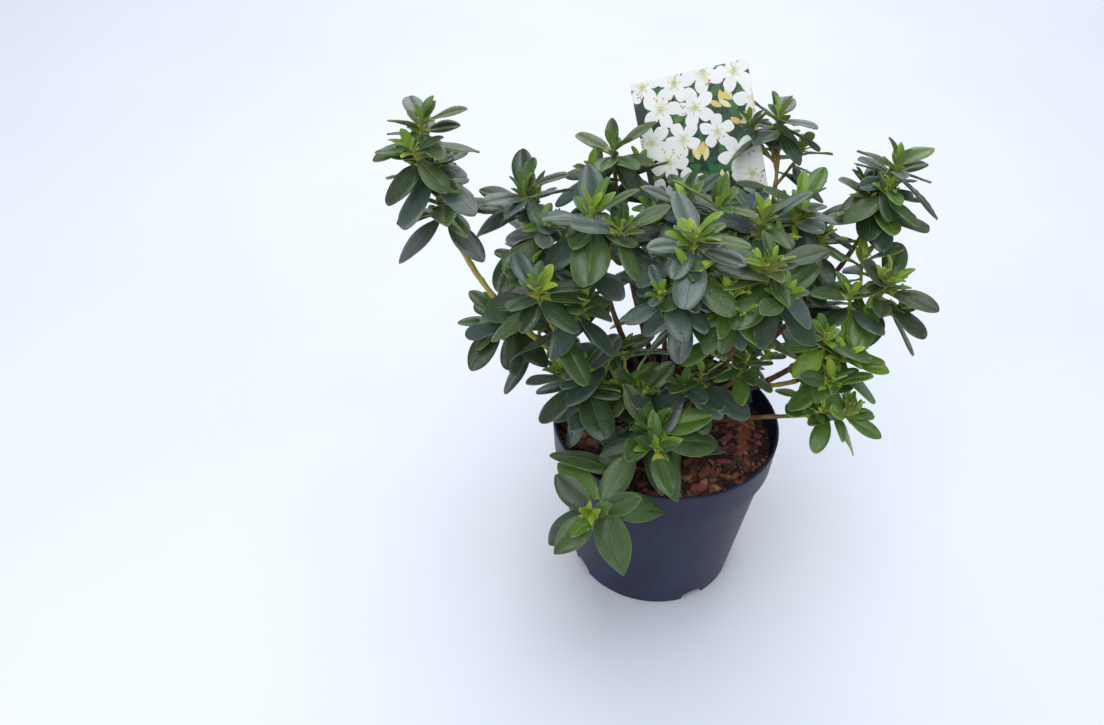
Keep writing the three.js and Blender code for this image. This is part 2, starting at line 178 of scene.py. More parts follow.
def fanFaces(sides, middle, start, left):  # triangles from a middle point to the ring that begins at start
    k = np.arange(sides)
    ring = np.stack([start + k, start + (k + 1) % sides], axis=-1)
    return np.column_stack([np.full(sides, middle), ring if left else ring[:, ::-1]])


def addLoft(pile, rings, ends, mats, inward=False):
    # A closed skin over rings of points, with a fan to a middle point at each end. mats is one material, or
    # one for each ring. inward is for rings that turn the other way.
    count, sides = np.shape(rings)[:2]
    quads = ringFaces(count, sides)
    tris = np.concatenate([fanFaces(sides, count * sides, 0, inward),
                           fanFaces(sides, count * sides + 1, (count - 1) * sides, not inward)])
    mats = np.broadcast_to(mats, count)
    addToPile(pile, np.concatenate([*rings, ends]), quads[:, ::-1] if inward else quads,
              np.repeat(mats[:-1], sides), tris, np.repeat(mats[[0, count - 2]], sides))


def addTube(pile, points, radii, sides, mats, relief=None):
    points = np.asarray(points, float)
    ahead = np.gradient(points, axis=0)
    ahead /= np.linalg.norm(ahead, axis=1)[:, None]
    across = aside(ahead[0], 0)
    turns = 2 * np.pi * np.arange(sides) / sides
    rings = []
    for i, centre in enumerate(points):
        across = unit(across - ahead[i] * np.dot(across, ahead[i]))
        other = np.cross(ahead[i], across)
        radius = radii[i] * (np.ones(sides) if relief is None else relief(i, centre, turns))
        ring = centre + np.outer(radius * np.cos(turns), across)
        rings.append(ring + np.outer(radius * np.sin(turns), other))
    addLoft(pile, rings, points[[0, -1]], mats)


# Materials

def linear(hexColour):
    parts = [int(hexColour[i:i + 2], 16) / 255 for i in (1, 3, 5)]
    return tuple(p / 12.92 if p <= 0.04045 else ((p + 0.055) / 1.055) ** 2.4 for p in parts) + (1.0,)


def addNode(tree, kind, settings=None, links=None):
    node = tree.nodes.new(kind)
    for key, value in (settings or {}).items():
        if isinstance(key, str) and hasattr(node, key):
            setattr(node, key, value)
        else:
            node.inputs[key].default_value = value
    for key, source in (links or {}).items():
        tree.links.new(source, node.inputs[key])
    return node


def newMaterial(name, sockets):
    material = bpy.data.materials.new(name)
    material.use_nodes = True
    tree = material.node_tree
    shader = tree.nodes["Principled BSDF"]
    for key, value in sockets.items():
        shader.inputs[key].default_value = value
    where = addNode(tree, "ShaderNodeTexCoord").outputs["Object"]
    return material, tree, shader, where


def patches(tree, where, size, detail=3, rough=0.55, span=(0.35, 0.65), to=(0, 1)):
    # soft patches about size millimetres across, with values between the two of to
    cloud = addNode(tree, "ShaderNodeTexNoise", {"Scale": metre / size, "Detail": detail, "Roughness": rough},
                    {"Vector": where})
    limits = {"From Min": span[0], "From Max": span[1], "To Min": to[0], "To Max": to[1]}
    return addNode(tree, "ShaderNodeMapRange", limits, {"Value": cloud.outputs["Fac"]}).outputs["Result"]


def patched(tree, where, size, under, over, detail=3, rough=0.55, span=(0.35, 0.65)):
    # one colour with soft patches of another over it, where the first may be a pattern already
    settings = {"data_type": "RGBA", 7: linear(over)}
    links = {0: patches(tree, where, size, detail, rough, span)}
    if isinstance(under, str):
        settings[6] = linear(under)
    else:
        links[6] = under
    return addNode(tree, "ShaderNodeMix", settings, links).outputs[2]


def dress(tree, shader, colour, rough, height, depth, strength):
    # the pattern of a surface on its shader: colour, roughness, and a relief of so many millimetres
    settings = {"Strength": strength, "Distance": depth * mm}
    relief = addNode(tree, "ShaderNodeBump", settings, {"Height": height})
    tree.links.new(colour, shader.inputs["Base Color"])
    if rough is not None:
        tree.links.new(rough, shader.inputs["Roughness"])
    tree.links.new(relief.outputs["Normal"], shader.inputs["Normal"])


def waxyLeaf(name, main, other, bloom, rough=0.35):
    # Living leaf, upper side: a waxy skin over green flesh. It gives a broad soft sheen that greys the dark
    # green where it faces the light, and its finest veins lie in a net that breaks the sheen up. The real net
    # is about 1 mm wide and is drawn at 2.6 mm, so that it shows. bloom is how much of the bluish dust-like
    # wax there is.
    material, tree, shader, where = newMaterial(name, {
        "IOR": 1.48, "Sheen Weight": bloom, "Sheen Roughness": 0.5, "Sheen Tint": linear("#c6cfcd"),
        "Specular IOR Level": 0.5 + 2 * bloom})
    net = addNode(tree, "ShaderNodeTexVoronoi", {"feature": "DISTANCE_TO_EDGE", "Scale": metre / 2.6},
                  {"Vector": where}).outputs["Distance"]
    field = addNode(tree, "ShaderNodeMapRange", {"From Max": 0.22}, {"Value": net}).outputs["Result"]
    vein = addNode(tree, "ShaderNodeMapRange", {"To Min": 0.35, "To Max": 0.0}, {"Value": field})
    cloudy = patched(tree, where, 8, main, other, 4, 0.6)
    veined = addNode(tree, "ShaderNodeMix", {"data_type": "RGBA", 7: linear(other)},
                     {0: vein.outputs["Result"], 6: cloudy})
    gloss = patches(tree, where, 5, to=(rough - 0.06, rough + 0.1))
    dress(tree, shader, veined.outputs[2], gloss, field, 0.16, 0.45)
    return material


def paleLeaf(name, main, other):
    # Living leaf, underside: no wax and a felt of fine hairs, so it is paler and matt. The hairs are drawn at
    # 0.9 mm, far coarser than life, so that they show.
    material, tree, shader, where = newMaterial(name, {"IOR": 1.42, "Sheen Weight": 0.1})
    gloss = patches(tree, where, 5, to=(0.6, 0.75))
    dress(tree, shader, patched(tree, where, 9, main, other), gloss, patches(tree, where, 0.9), 0.15, 0.4)
    return material


def barkMaterial(name, main, other, crack, rough=0.72):
    # Thin bark that flakes as the limb thickens: long patches along it, darker in the cracks, dull.
    material, tree, shader, where = newMaterial(name, {"IOR": 1.5})
    streak = addNode(tree, "ShaderNodeMapping", {"Scale": (1, 1, 0.25)}, {"Vector": where}).outputs["Vector"]
    tint = patched(tree, streak, 2.4, main, other, 4, 0.65)
    cracked = patched(tree, streak, 1.1, tint, crack, 4, 0.7, (0.56, 0.66))
    gloss = patches(tree, where, 2, to=(rough - 0.1, rough + 0.1))
    dress(tree, shader, cracked, gloss, patches(tree, streak, 0.9, 5, 0.7), 0.3, 0.6)
    return material


def greenStem(name, main, other):
    # Soft new stem or bud: a smooth skin, faintly glossy, flushed with a second colour in patches. Its short
    # flat hairs are drawn as a grain of 0.5 mm, coarser than life, so that they show.
    material, tree, shader, where = newMaterial(name, {"IOR": 1.45})
    flushed = patched(tree, where, 7, main, other, 3, 0.6)
    gloss = patches(tree, where, 2, to=(0.42, 0.58))
    dress(tree, shader, flushed, gloss, patches(tree, where, 0.5), 0.1, 0.4)
    return material


def peatMaterial(name, main, other, size, rough=0.9):
    # Peat and bark, milled, composted and damp: crumbly and matt, and darker where it is wet.
    material, tree, shader, where = newMaterial(name, {"IOR": 1.4})
    damp = patched(tree, where, size, main, other, 5, 0.7)
    gloss = patches(tree, where, size * 2, to=(rough - 0.15, rough + 0.05))
    dress(tree, shader, damp, gloss, patches(tree, where, 1.0, 6, 0.75), 0.5, 0.8)
    return material


def inkMaterial(name, main, other):
    # Offset ink under clear laminate on a polypropylene card: flat colour with a hard gloss.
    material, tree, shader, where = newMaterial(name, {
        "IOR": 1.5, "Roughness": 0.32, "Coat Weight": 0.4, "Coat Roughness": 0.12})
    ink = patched(tree, where, 3, main, other, 3, 0.6)
    dress(tree, shader, ink, None, patches(tree, where, 30, 1, 0.4), 0.3, 0.1)
    return material


def plasticMaterial(name, main, other, rough):
    # Polypropylene, rolled and die-cut for a card or injection-moulded for a stake: smooth, with a soft milky
    # shine. Its grain is drawn at 0.8 mm, coarser than life, so that it shows.
    material, tree, shader, where = newMaterial(name, {"IOR": 1.49})
    gloss = patches(tree, where, 4, to=(rough - 0.05, rough + 0.1))
    dress(tree, shader, patched(tree, where, 20, main, other), gloss, patches(tree, where, 0.8), 0.05, 0.2)
    return material


# Trunk and limbs grow by the same rule as in the CAD model.

trunk = {
    "flare": 11,  # radius of its foot
    "waist": 7.5,
    "top": 5.5,
    "height": 34,
    "waistAt": 0.3,  # share of the height
    "lean": (2, 1.5),  # how far its top stands to the right and to the back
    "foot": 113.3,  # height of its cut foot over the ground
}

limb = {
    "root": 2.3,  # radius
    "tip": 1.5,
    "sides": 14,
    "stem": 58,  # its leafy end, which the twigs take over
    "bare": 0.35,  # least share of a limb that stays bare
    "gap": 0.3,  # between solids in the CAD model
    "fork": 0.8,  # thickness of a fork, as a share of the limb that it leaves
    "inTrunk": 5,  # how deep a limb from the trunk's top begins
}

# The leafy heads. head is the tip, as degrees round from +X, distance out and height. foot is where the limb
# leaves the trunk, as degrees and height on it, and fork is the limb that it forks from, and how far along.
# What a head doesn't say is as in usual.
usual = {
    "bend": (0.5, 0.5),  # where the limb's middle lies, as shares of the way out and up, and degrees round
    "size": 0.95,  # of its leaves
    "fresh": 0.2,  # share of new growth
    "shoots": 2,  # side shoots, where spurs is for the finest twigs
    "tiers": 1,  # rings of leaves one under another on the leading shoot
    "hanging": 3,  # old leaves on the bare stem
    "finest": 0,  # the first of finerRings that the leading shoot has
    "pointed": 0,  # how much further its leaves narrow to the tip
    "bark": 2,  # material of its young bark
    "tones": None,  # entries of the palette for its grown leaves, as often as each is to come up
}
heads = [
    {"name": "crown_centre", "head": (100, 12, 281), "foot": (0, 34), "bend": (0.4, 0.5), "shoots": 3},
    {"name": "crown_front", "head": (-92, 36, 284), "foot": (-80, 28), "bend": (0.7, 0.4), "size": 1.05,
     "fresh": 0.7, "tones": (2, 3, 0, 3, 1)},
    {"name": "left_top", "head": (-170, 57, 283), "foot": (-160, 29), "bend": (0.75, 0.4), "size": 1.05,
     "fresh": 0.45, "tones": (2, 0, 2, 0, 3)},
    {"name": "tall_left", "head": (180, 149, 331), "foot": (178, 20), "bend": (0.93, 0.3), "size": 0.84,
     "tiers": 3, "fresh": 0.45, "bark": 3, "tones": (2, 3, 0, 3, 1)},
    {"name": "left_outer", "head": (168, 97, 281), "fork": ("tall_left", 0.3), "bend": (0.7, 0.5),
     "tones": (2, 0, 2, 1, 3)},
    {"name": "left_front", "head": (-155, 95, 251), "fork": ("tall_left", 0.16), "bend": (0.6, 0.4),
     "fresh": 0.4},
    {"name": "back_left_top", "head": (117, 90, 279), "foot": (117, 27), "bend": (0.7, 0.35), "size": 1},
    {"name": "back_top", "head": (78, 60, 256), "fork": ("crown_centre", 0.4), "bend": (0.6, 0.3), "size": 1},
    {"name": "right_front", "head": (-45, 58, 272), "foot": (-38, 24), "bend": (0.75, 0.35), "fresh": 0.9,
     "tones": (3, 1, 3, 2, 4)},
    {"name": "right_top", "head": (13, 46, 270), "foot": (0, 29), "bend": (0.7, 0.4), "size": 1,
     "fresh": 0.5},
    {"name": "tall_right", "head": (21, 139, 287), "foot": (22, 20), "bend": (0.85, 0.3), "size": 0.92,
     "tiers": 2, "fresh": 0.5},
    {"name": "right_upper", "head": (29, 84, 264), "fork": ("tall_right", 0.28), "bend": (0.6, 0.5),
     "shoots": 3},
    {"name": "back_right_top", "head": (57, 119, 295), "foot": (44, 25), "bend": (0.69, 0.35, -26),
     "size": 0.92},
    {"name": "inner_left_top", "head": (-101, 46, 258), "fork": ("crown_front", 0.42), "size": 0.75,
     "fresh": 0.6, "tones": (2, 0, 2, 3)},
    {"name": "inner_right_top", "head": (-69, 55, 257), "fork": ("right_front", 0.42), "size": 0.75,
     "fresh": 1},
    {"name": "far_right", "head": (4, 128, 228), "foot": (-4, 14), "bend": (0.75, 0.3), "shoots": 3,
     "size": 1, "fresh": 0.6},
    {"name": "low_right", "head": (-11, 105, 196), "fork": ("far_right", 0.3), "bend": (0.6, 0.3),
     "shoots": 3, "size": 0.88, "fresh": 0.9, "hanging": 0, "bark": 3, "tones": (4, 3, 5, 4)},
    {"name": "lowest_right", "head": (-16, 115, 157), "foot": (-24, 8), "bend": (0.5, 0.6), "size": 0.78,
     "fresh": 1, "hanging": 0, "tones": (4, 5, 4, 3)},
    {"name": "inner_right", "head": (-37, 50, 199), "fork": ("right_front", 0.2), "bend": (0.8, 0.3),
     "size": 0.55, "spurs": 0, "hanging": 0, "tones": (3, 4, 3, 0)},
    {"name": "inner_centre", "head": (-66, 34, 187), "foot": (-62, 20), "bend": (0.8, 0.3), "size": 0.9,
     "spurs": 0},
    {"name": "front", "head": (-107, 54, 159), "foot": (-104, 13), "bend": (0.6, 0.7), "size": 1.18,
     "fresh": 0.6, "spurs": 0, "finest": 1, "pointed": 0.5, "tones": (1, 3, 1, 4)},
    {"name": "front_hanging", "head": (-118, 107, 126), "foot": (-126, 8), "bend": (0.4, 4), "shoots": 0,
     "size": 1.2, "fresh": 0.5, "spurs": 0, "finest": 2, "pointed": 0.7, "tones": (3, 1, 4, 1, 4, 1)},
    {"name": "low_left", "head": (-155, 66, 186), "foot": (-154, 14), "bend": (0.8, 0.3), "shoots": 3,
     "size": 1.02},
    {"name": "inner_left", "head": (-140, 42, 171), "fork": ("low_left", 0.2), "bend": (0.6, 0.6),
     "spurs": 0},
    {"name": "far_left", "head": (172, 112, 196), "foot": (170, 10), "bend": (0.75, 0.35), "shoots": 3},
    {"name": "back_left", "head": (142, 112, 220), "foot": (140, 15), "bend": (0.75, 0.3), "shoots": 3},
    {"name": "back_centre", "head": (88, 104, 206), "foot": (92, 12), "bend": (0.75, 0.3), "shoots": 3,
     "size": 1},
    {"name": "back_right", "head": (38, 118, 198), "foot": (54, 9), "bend": (0.8, 0.12, 8), "shoots": 3},
]
heads = [{**usual, **row} for row in heads]


def trunkRadius(z):
    rise = (z - trunk["foot"]) / trunk["height"]
    if rise < trunk["waistAt"]:
        return blend(trunk["flare"], trunk["waist"], rise / trunk["waistAt"])
    return blend(trunk["waist"], trunk["top"], (rise - trunk["waistAt"]) / (1 - trunk["waistAt"]))


def trunkCentre(z):
    rise = (z - trunk["foot"]) / trunk["height"]
    return np.array([trunk["lean"][0] * rise, trunk["lean"][1] * rise, z])


limbs = {}


def growLimb(row):
    end = around(*row["head"])
    out, rise, turn = (row["bend"] + (0,))[:3]

    def bendOf(p):
        return turned(np.array([*blend(p[:2], end[:2], out), blend(p[2], end[2], rise)]), up, turn)

    gap = limb["gap"]
    thick = limb["root"]
    if "fork" in row:
        parent = limbs[row["fork"][0]]
        share = row["fork"][1]
        side = blend(parent["thick"], limb["tip"], share / parent["split"])
        thick = limb["fork"] * side
        joint = pointAt(parent["curve"], share)
        ahead = unit(bendOf(joint) - joint)
        lean = math.acos(np.clip(np.dot(ahead, tangentAt(parent["curve"], share)), -1, 1))
        start = joint + ahead * (side + 2 * gap + thick * math.cos(lean)) / math.sin(lean)
    elif row["foot"][1] < trunk["height"]:
        joint = trunkCentre(trunk["foot"] + row["foot"][1])
        ahead = unit(bendOf(joint) - joint)
        start = joint + around(row["foot"][0], trunkRadius(joint[2]) + 2 * gap + thick * abs(ahead[2]), 0)
    else:
        start = trunkCentre(trunk["foot"] + trunk["height"] + 2 * gap)
        joint = start - np.array([0, 0, limb["inTrunk"]])
    curve = (start, bendOf(start), end)
    length = lengthOf(curve)
    split = max(1 - limb["stem"] / length, limb["bare"])
    limbs[row["name"]] = {"curve": curve, "split": split, "length": length, "thick": thick, "joint": joint}


for row in heads:
    growLimb(row)
print("stage limbs", len(limbs))


# Twigs and leaves: the first rings repeat the CAD model's, and the finer ones fill in between.

stem = {"root": 1.5, "tip": 1.15, "sides": 9, "rings": 22, "inside": 0}  # the leafy end of a limb
shoot = {
    "length": 28,
    "root": 1.15,  # radius, as the tip is too
    "tip": 0.85,
    "sides": 8,
    "rings": 10,
    "inside": 0.03,  # share of it that lies in the stem
    "from": 0.2,  # where on the stem the side shoots begin
    "over": 0.45,  # and over how much of it they spread
    "way": (0.8, 0.5, 0.3),  # how far it heads aside, along the stem and up
    "reach": (0.8, 0.45),
    "bend": (0.5, 0.35, 0.2),  # of its reach: to its middle, on to its end, and up to its end
    "size": (0.8, 0.15),  # of its leaves
}
spur = {  # the finest twigs, between the side shoots
    "length": 13,
    "root": 0.8,
    "tip": 0.65,
    "sides": 7,
    "rings": 10,
    "inside": 0.03,
    "from": 0.35,
    "step": 0.2,
    "shift": 0.08,
    "turn": 70,  # degrees from the side shoots
    "way": (0.7, 0.4, 0.5),
    "reach": (0.8, 0.5),
    "bend": (0.55, 0.3, 0.2),
    "fresh": 0.35,  # more new growth than the rest of the head
    "freshHead": 0.5,  # a head with more new growth than this has many spurs
    "count": (1, 3),  # few and many
}
hanging = {  # old leaves that hang from the bare part of the stem
    "from": 0.05,
    "step": 0.2,
    "turn": 40,
    "rise": (0.25, -0.9),
    "length": (0.95, 0.3),
    "droop": (0.12, 0.25),
}
tier = {"step": 0.4, "growth": 0.08}  # how far one lies under the next, and how much larger its leaves are
outerLeaves = {"tip": 5, "side": 4}  # most in the outermost ring, on the leading tip and elsewhere
goldenTurn = 137.5

# Rings of leaves round the end of a shoot: how many, how far open in degrees, their share of the full size,
# and how far below the tip they root. age picks the leaf's build and colours, from 0 for an old one to 3 for
# one in the bud.
leafRings = [
    {"count": 5, "open": 102, "size": 1, "back": 7, "age": 0},
    {"count": 3, "open": 60, "size": 0.84, "back": 2.5, "age": 1},
    {"count": 2, "open": 24, "size": 0.52, "back": 1.2, "age": 2},
]
finerRings = [
    {"count": 4, "open": 82, "size": 0.78, "back": 5, "age": 1},
    {"count": 4, "open": 48, "size": 0.46, "back": 2, "age": 2},
    {"count": 3, "open": 22, "size": 0.34, "back": 0.6, "age": 3},
]
ringHabit = {
    "follow": 0.6,  # how far a ring's axis follows its shoot
    "lift": 0.7,  # and how far it turns up
    "turn": 0.3,  # how far a leaf may stand off its place in the ring, as a share of its room
    "open": 26,  # degrees that leaves of a ring may differ by
    "roll": 0.5,  # radians
    "length": (0.86, 0.28),
    "droop": (0.06, 0.2),
    "next": 20,  # extra degrees from one ring to the next
}
leaf = {
    "length": 37,  # life size, where the CAD model's fewer leaves are larger
    "rootSpacing": 1.8,  # along the shoot, from one leaf of a ring to the next
    "petiole": 0.07,  # share of the length
    "petioleHalf": 0.75,
    "petioleShare": 0.25,  # at most, of the blade's half width
    "thick": 0.6,
    "bladeThick": 0.6,  # share of it in the blade
    "stalkThick": 0.8,  # and how much more where the leaf is narrow
    "vein": 0.24,  # how deep the side veins lie
    "slant": 0.24,  # how far the side veins run towards the tip
    "groove": 0.35,  # depth of the groove over the middle rib
    "rib": 0.45,  # how far the middle rib stands out underneath
    "fullRelief": (9, 8),  # half width from which veins and rib have their full depth
    "wavy": 0.08,
    "waves": 7,
    "pale": (0.1, 0.17, 0.2, 0.2),  # share of the length that is yellow-green at the root, for each age
    "rootward": 0.82,  # power of the outline towards the root
    "tipward": (0.5, 0.3),  # least power towards the tip, and how much more a pointed leaf has
    "twist": 0.8,  # radians
    "sway": 0.16,
    "broad": (0.86, 0.26),
    "wavePhase": 6,
    "ringColour": 0.75,  # how often a leaf has the colour of its ring
    "freshPower": 1.5,  # how quickly fresh colours give way on heads with less new growth
}

# A leaf's build for each age: where its points lie across, and how many rows it has from root to tip.
builds = [
    {"across": (-1, -0.97, -0.55, -0.024, 0, 0.024, 0.55, 0.97, 1), "rows": 17, "width": 0.46, "fold": 0.2,
     "cup": -0.26},
    {"across": (-1, -0.96, -0.52, -0.028, 0, 0.028, 0.52, 0.96, 1), "rows": 13, "width": 0.44, "fold": 0.26,
     "cup": -0.16},
    {"across": (-1, -0.5, -0.045, 0, 0.045, 0.5, 1), "rows": 9, "width": 0.4, "fold": 0.3, "cup": 0.05},
    {"across": (-1, -0.5, 0, 0.5, 1), "rows": 7, "width": 0.36, "fold": 0.35, "cup": 0.2},
]

# Each entry is a leaf's colour: how much bloom it has, its upper side, its pale rib and margin, and its
# underside.
palette = [
    {"name": "old_slate", "bloom": 0.12, "upper": ("#2c3f34", "#3a4e42"), "rib": ("#50644a", "#5b6f52"),
     "under": ("#66785a", "#708261")},
    {"name": "old_deep", "bloom": 0.04, "upper": ("#24361f", "#324728"), "rib": ("#4e683a", "#587143"),
     "under": ("#5c7248", "#677c51")},
    {"name": "old_grey", "bloom": 0.16, "upper": ("#3c4f45", "#4b5e53"), "rib": ("#667362", "#707c6a"),
     "under": ("#728562", "#7c906b")},
    {"name": "mid_green", "bloom": 0.04, "upper": ("#334b22", "#425a2b"), "rib": ("#617c38", "#6c8742"),
     "under": ("#6b8644", "#76914d")},
    {"name": "mid_bright", "bloom": 0.04, "upper": ("#426024", "#52722d"), "rib": ("#779240", "#829d49"),
     "under": ("#7c9645", "#87a14f")},
    {"name": "young_lime", "bloom": 0.03, "upper": ("#5f8022", "#72932b"), "rib": ("#8da643", "#98b04b"),
     "under": ("#8ea643", "#98ae4d")},
    {"name": "young_yellow", "bloom": 0.03, "upper": ("#7d9728", "#90a832"), "rib": ("#a5b54a", "#adbd52"),
     "under": ("#9fb246", "#a9ba50")},
]
leafBase = ("#8d9638", "#9fa544")  # every leaf is yellow-green at its root
colourByAge = [  # entries of the palette for each age, on plain and on fresh growth
    {"plain": (0, 1, 2, 1, 0), "fresh": (3, 3, 4, 0, 3)},
    {"plain": (2, 0, 3, 1, 3), "fresh": (4, 3, 4, 3, 4)},
    {"plain": (3, 4, 4, 5, 3), "fresh": (5, 5, 4, 6, 5)},
    {"plain": (5, 6, 5, 4, 5), "fresh": (6, 6, 5, 6, 6)},
]
colourChoices = 5
grownAges = 2  # ages below this are grown leaves, and take the tones of their head


def planRings(plan, rings, line, at, most, size, draw, fresh):
    # most is how many leaves the first of leafRings may have, and its other rings two fewer
    number = len(plan["whorls"])
    along = tangentAt(line, at)
    length = lengthOf(line)
    axis = unit(along * ringHabit["follow"] + up * ringHabit["lift"])
    phase = draw() * 360
    plan["whorls"].append({"fresh": fresh, "pick": None})
    for index, ring in enumerate(rings):
        count = ring["count"]
        if rings is leafRings:
            count = min(count, most if index == 0 else most - 2)
        stride = 2 if count == 5 else 1  # five leaves follow each other as the points of a star do
        for k in range(count):
            turn = phase + ((k * stride + ringHabit["turn"] * (draw() - 0.5)) * 360) / count
            opened = math.radians(ring["open"] + ringHabit["open"] * (draw() - 0.5))
            outward = aside(axis, turn)
            face = axis * math.sin(opened) - outward * math.cos(opened)
            ahead = outward * math.sin(opened) + axis * math.cos(opened)
            spec = {"whorl": number, "age": ring["age"], "ahead": ahead}
            spec["root"] = pointAt(line, at - (ring["back"] + k * leaf["rootSpacing"]) / length)
            spec["face"] = turned(face, ahead, math.degrees(ringHabit["roll"] * (draw() - 0.5)))
            spec["length"] = leaf["length"] * size * ring["size"] * spread(ringHabit["length"], draw)
            spec["droop"] = spread(ringHabit["droop"], draw)
            plan["leaves" if rings is leafRings else "finer"].append(spec)
        phase += 180 / count + ringHabit["next"]
    return number


def sideTwig(bare, at, turn, kind, draw):
    start, along = pointAt(bare, at), tangentAt(bare, at)
    sideways, onward, upward = kind["way"]
    ahead = unit(aside(along, turn) * sideways + along * onward + up * upward)
    reach = kind["length"] * spread(kind["reach"], draw)
    toMiddle, toEnd, rise = kind["bend"]
    middle = start + ahead * toMiddle * reach
    return start, middle, middle + ahead * toEnd * reach + up * rise * reach


def planHead(row, index):
    draw, extra = seeded(index), seeded(index + 500)
    size, fresh = row["size"], row["fresh"]
    grown = limbs[row["name"]]
    line = stretch(grown["curve"], grown["split"], 1)
    bare = stretch(grown["curve"], grown["split"] + 2 * limb["gap"] / grown["length"], 1)
    plan = {"name": row["name"], "pointed": row["pointed"], "tones": row["tones"], "twigs": [(line, stem)],
            "leaves": [], "finer": [], "whorls": []}
    for level in range(row["tiers"]):
        here = size * (1 + tier["growth"] * level)
        at = 1 - tier["step"] * level
        most = outerLeaves["side" if level else "tip"]
        number = planRings(plan, leafRings, bare, at, most, here, draw, fresh)
        planRings(plan, finerRings[row["finest"]:], bare, at, most, here, extra, fresh)
        plan["whorls"][-1] = plan["whorls"][number]
    phase = draw() * 360
    for s in range(row["shoots"]):
        at = shoot["from"] + (shoot["over"] * (s + 0.5 * draw())) / row["shoots"]
        twig = sideTwig(bare, at, phase + s * goldenTurn, shoot, draw)
        plan["twigs"].append((twig, shoot))
        here = size * spread(shoot["size"], draw)
        number = planRings(plan, leafRings, twig, 1, outerLeaves["side"], here, draw, fresh)
        planRings(plan, finerRings[1:], twig, 1, 0, here, extra, fresh)
        plan["whorls"][-1] = plan["whorls"][number]
    for s in range(row.get("spurs", spur["count"][fresh > spur["freshHead"]])):
        at = spur["from"] + spur["step"] * s + spur["shift"] * extra()
        twig = sideTwig(bare, at, phase + spur["turn"] + s * goldenTurn, spur, extra)
        plan["twigs"].append((twig, spur))
        planRings(plan, finerRings[1:], twig, 1, 0, size, extra, min(1, fresh + spur["fresh"]))
    for s in range(row["hanging"]):
        at = hanging["from"] + hanging["step"] * s
        outward = aside(tangentAt(bare, at), phase + hanging["turn"] + s * goldenTurn)
        ahead = unit(outward + up * spread(hanging["rise"], extra))
        spec = {"whorl": 0, "age": 0, "root": pointAt(bare, at), "ahead": ahead}
        spec["face"] = unit(up - ahead * ahead[2])
        spec["length"] = leaf["length"] * size * spread(hanging["length"], extra)
        spec["droop"] = spread(hanging["droop"], extra)
        plan["finer"].append(spec)
    return plan


def halfWidth(s, tipward):  # the blade's outline, as a share of its widest
    t = np.clip((s - leaf["petiole"]) / (1 - leaf["petiole"]), 0, 1)
    rootward = leaf["rootward"]
    middle = rootward / (rootward + tipward)
    return t ** rootward * (1 - t) ** tipward / (middle ** rootward * (1 - middle) ** tipward)


def rowShares(rows):  # where the rows of points lie along a leaf, closer at its ends
    share = (np.arange(rows) + 0.5) / rows
    s = 0.5 - 0.5 * np.cos(np.pi * (0.04 + 0.95 * share))
    return np.clip(0.65 * s + 0.35 * (0.01 + 0.98 * share), 0.012, 0.992)


def leafPoints(spec, build):
    across = np.array(build["across"])
    rows = build["rows"]
    length = spec["length"]
    half = length * build["width"] * spec["broad"] / 2
    s = rowShares(rows)
    columns = np.concatenate([across, across[-2:0:-1]])
    under = np.arange(len(columns)) >= len(across)
    edge = np.abs(columns) == 1
    grid = s[:, None] + leaf["slant"] * np.abs(columns) * s[:, None] * (1 - s[:, None])
    stalk = np.minimum(leaf["petioleHalf"], leaf["petioleShare"] * half) * (1 - grid) ** 2
    wide = np.maximum(halfWidth(grid, spec["tipward"]) * half, stalk)
    y = columns * wide
    flat = np.clip(wide / half, 0, 1)
    thick = np.where(edge, 0, leaf["thick"] * (leaf["bladeThick"] + leaf["stalkThick"] * (1 - flat))) / 2
    z = (build["fold"] * np.abs(columns) + build["cup"] * columns ** 2) * half * flat
    vein = (np.arange(rows) % 2 * 2 - 1)[:, None] * np.sin(np.pi * np.abs(columns)) * flat
    fullVein, fullRib = leaf["fullRelief"]
    z = z + leaf["vein"] * vein * min(1, half / fullVein)
    groove = leaf["groove"] * flat + np.where(under, leaf["rib"], 0)
    z = z - np.where(columns == 0, groove, 0) * min(1, half / fullRib)
    z = z + np.where(under, -thick, thick)
    z = z + leaf["wavy"] * half * np.sin(spec["wave"] + leaf["waves"] * grid) * columns * np.abs(columns)
    roll = spec["twist"] * grid
    side = np.cross(spec["face"], spec["ahead"])
    flatY = y * np.cos(roll) - z * np.sin(roll) + spec["sway"] * length * grid ** 2
    flatZ = y * np.sin(roll) + z * np.cos(roll) - spec["droop"] * length * grid ** 2
    body = spec["root"] + np.multiply.outer(grid * length, spec["ahead"]) + np.multiply.outer(flatY, side)
    body = body + np.multiply.outer(flatZ, spec["face"])
    tip = spec["root"] + spec["ahead"] * length + side * spec["sway"] * length
    return body, tip - spec["face"] * spec["droop"] * length


def leafFaces(build, pale):
    columns = len(build["across"])
    loop = 2 * columns - 2
    rows = build["rows"]
    quads = ringFaces(rows, loop)[:, ::-1]
    ends = np.concatenate([fanFaces(loop, rows * loop, 0, True),
                           fanFaces(loop, rows * loop + 1, (rows - 1) * loop, False)])
    # what each face is: 0 blade, 1 pale rib or margin, 2 underside, 3 leaf base
    kinds = np.full((rows - 1, loop), 2)
    top = columns - 1
    kinds[:, :top] = 0
    shares = rowShares(rows)[:-1]
    middle = top // 2
    if columns > 5:
        kinds[shares < 0.8, middle - 1:middle + 1] = 1  # the rib fades out towards the tip
    if columns > 7:
        kinds[:, [0, top - 1]] = 1
    kinds[shares < pale, :top] = 3
    return quads, kinds.ravel(), ends, np.concatenate([kinds[0], kinds[-1]])


builtFaces = [leafFaces(build, pale) for build, pale in zip(builds, leaf["pale"])]


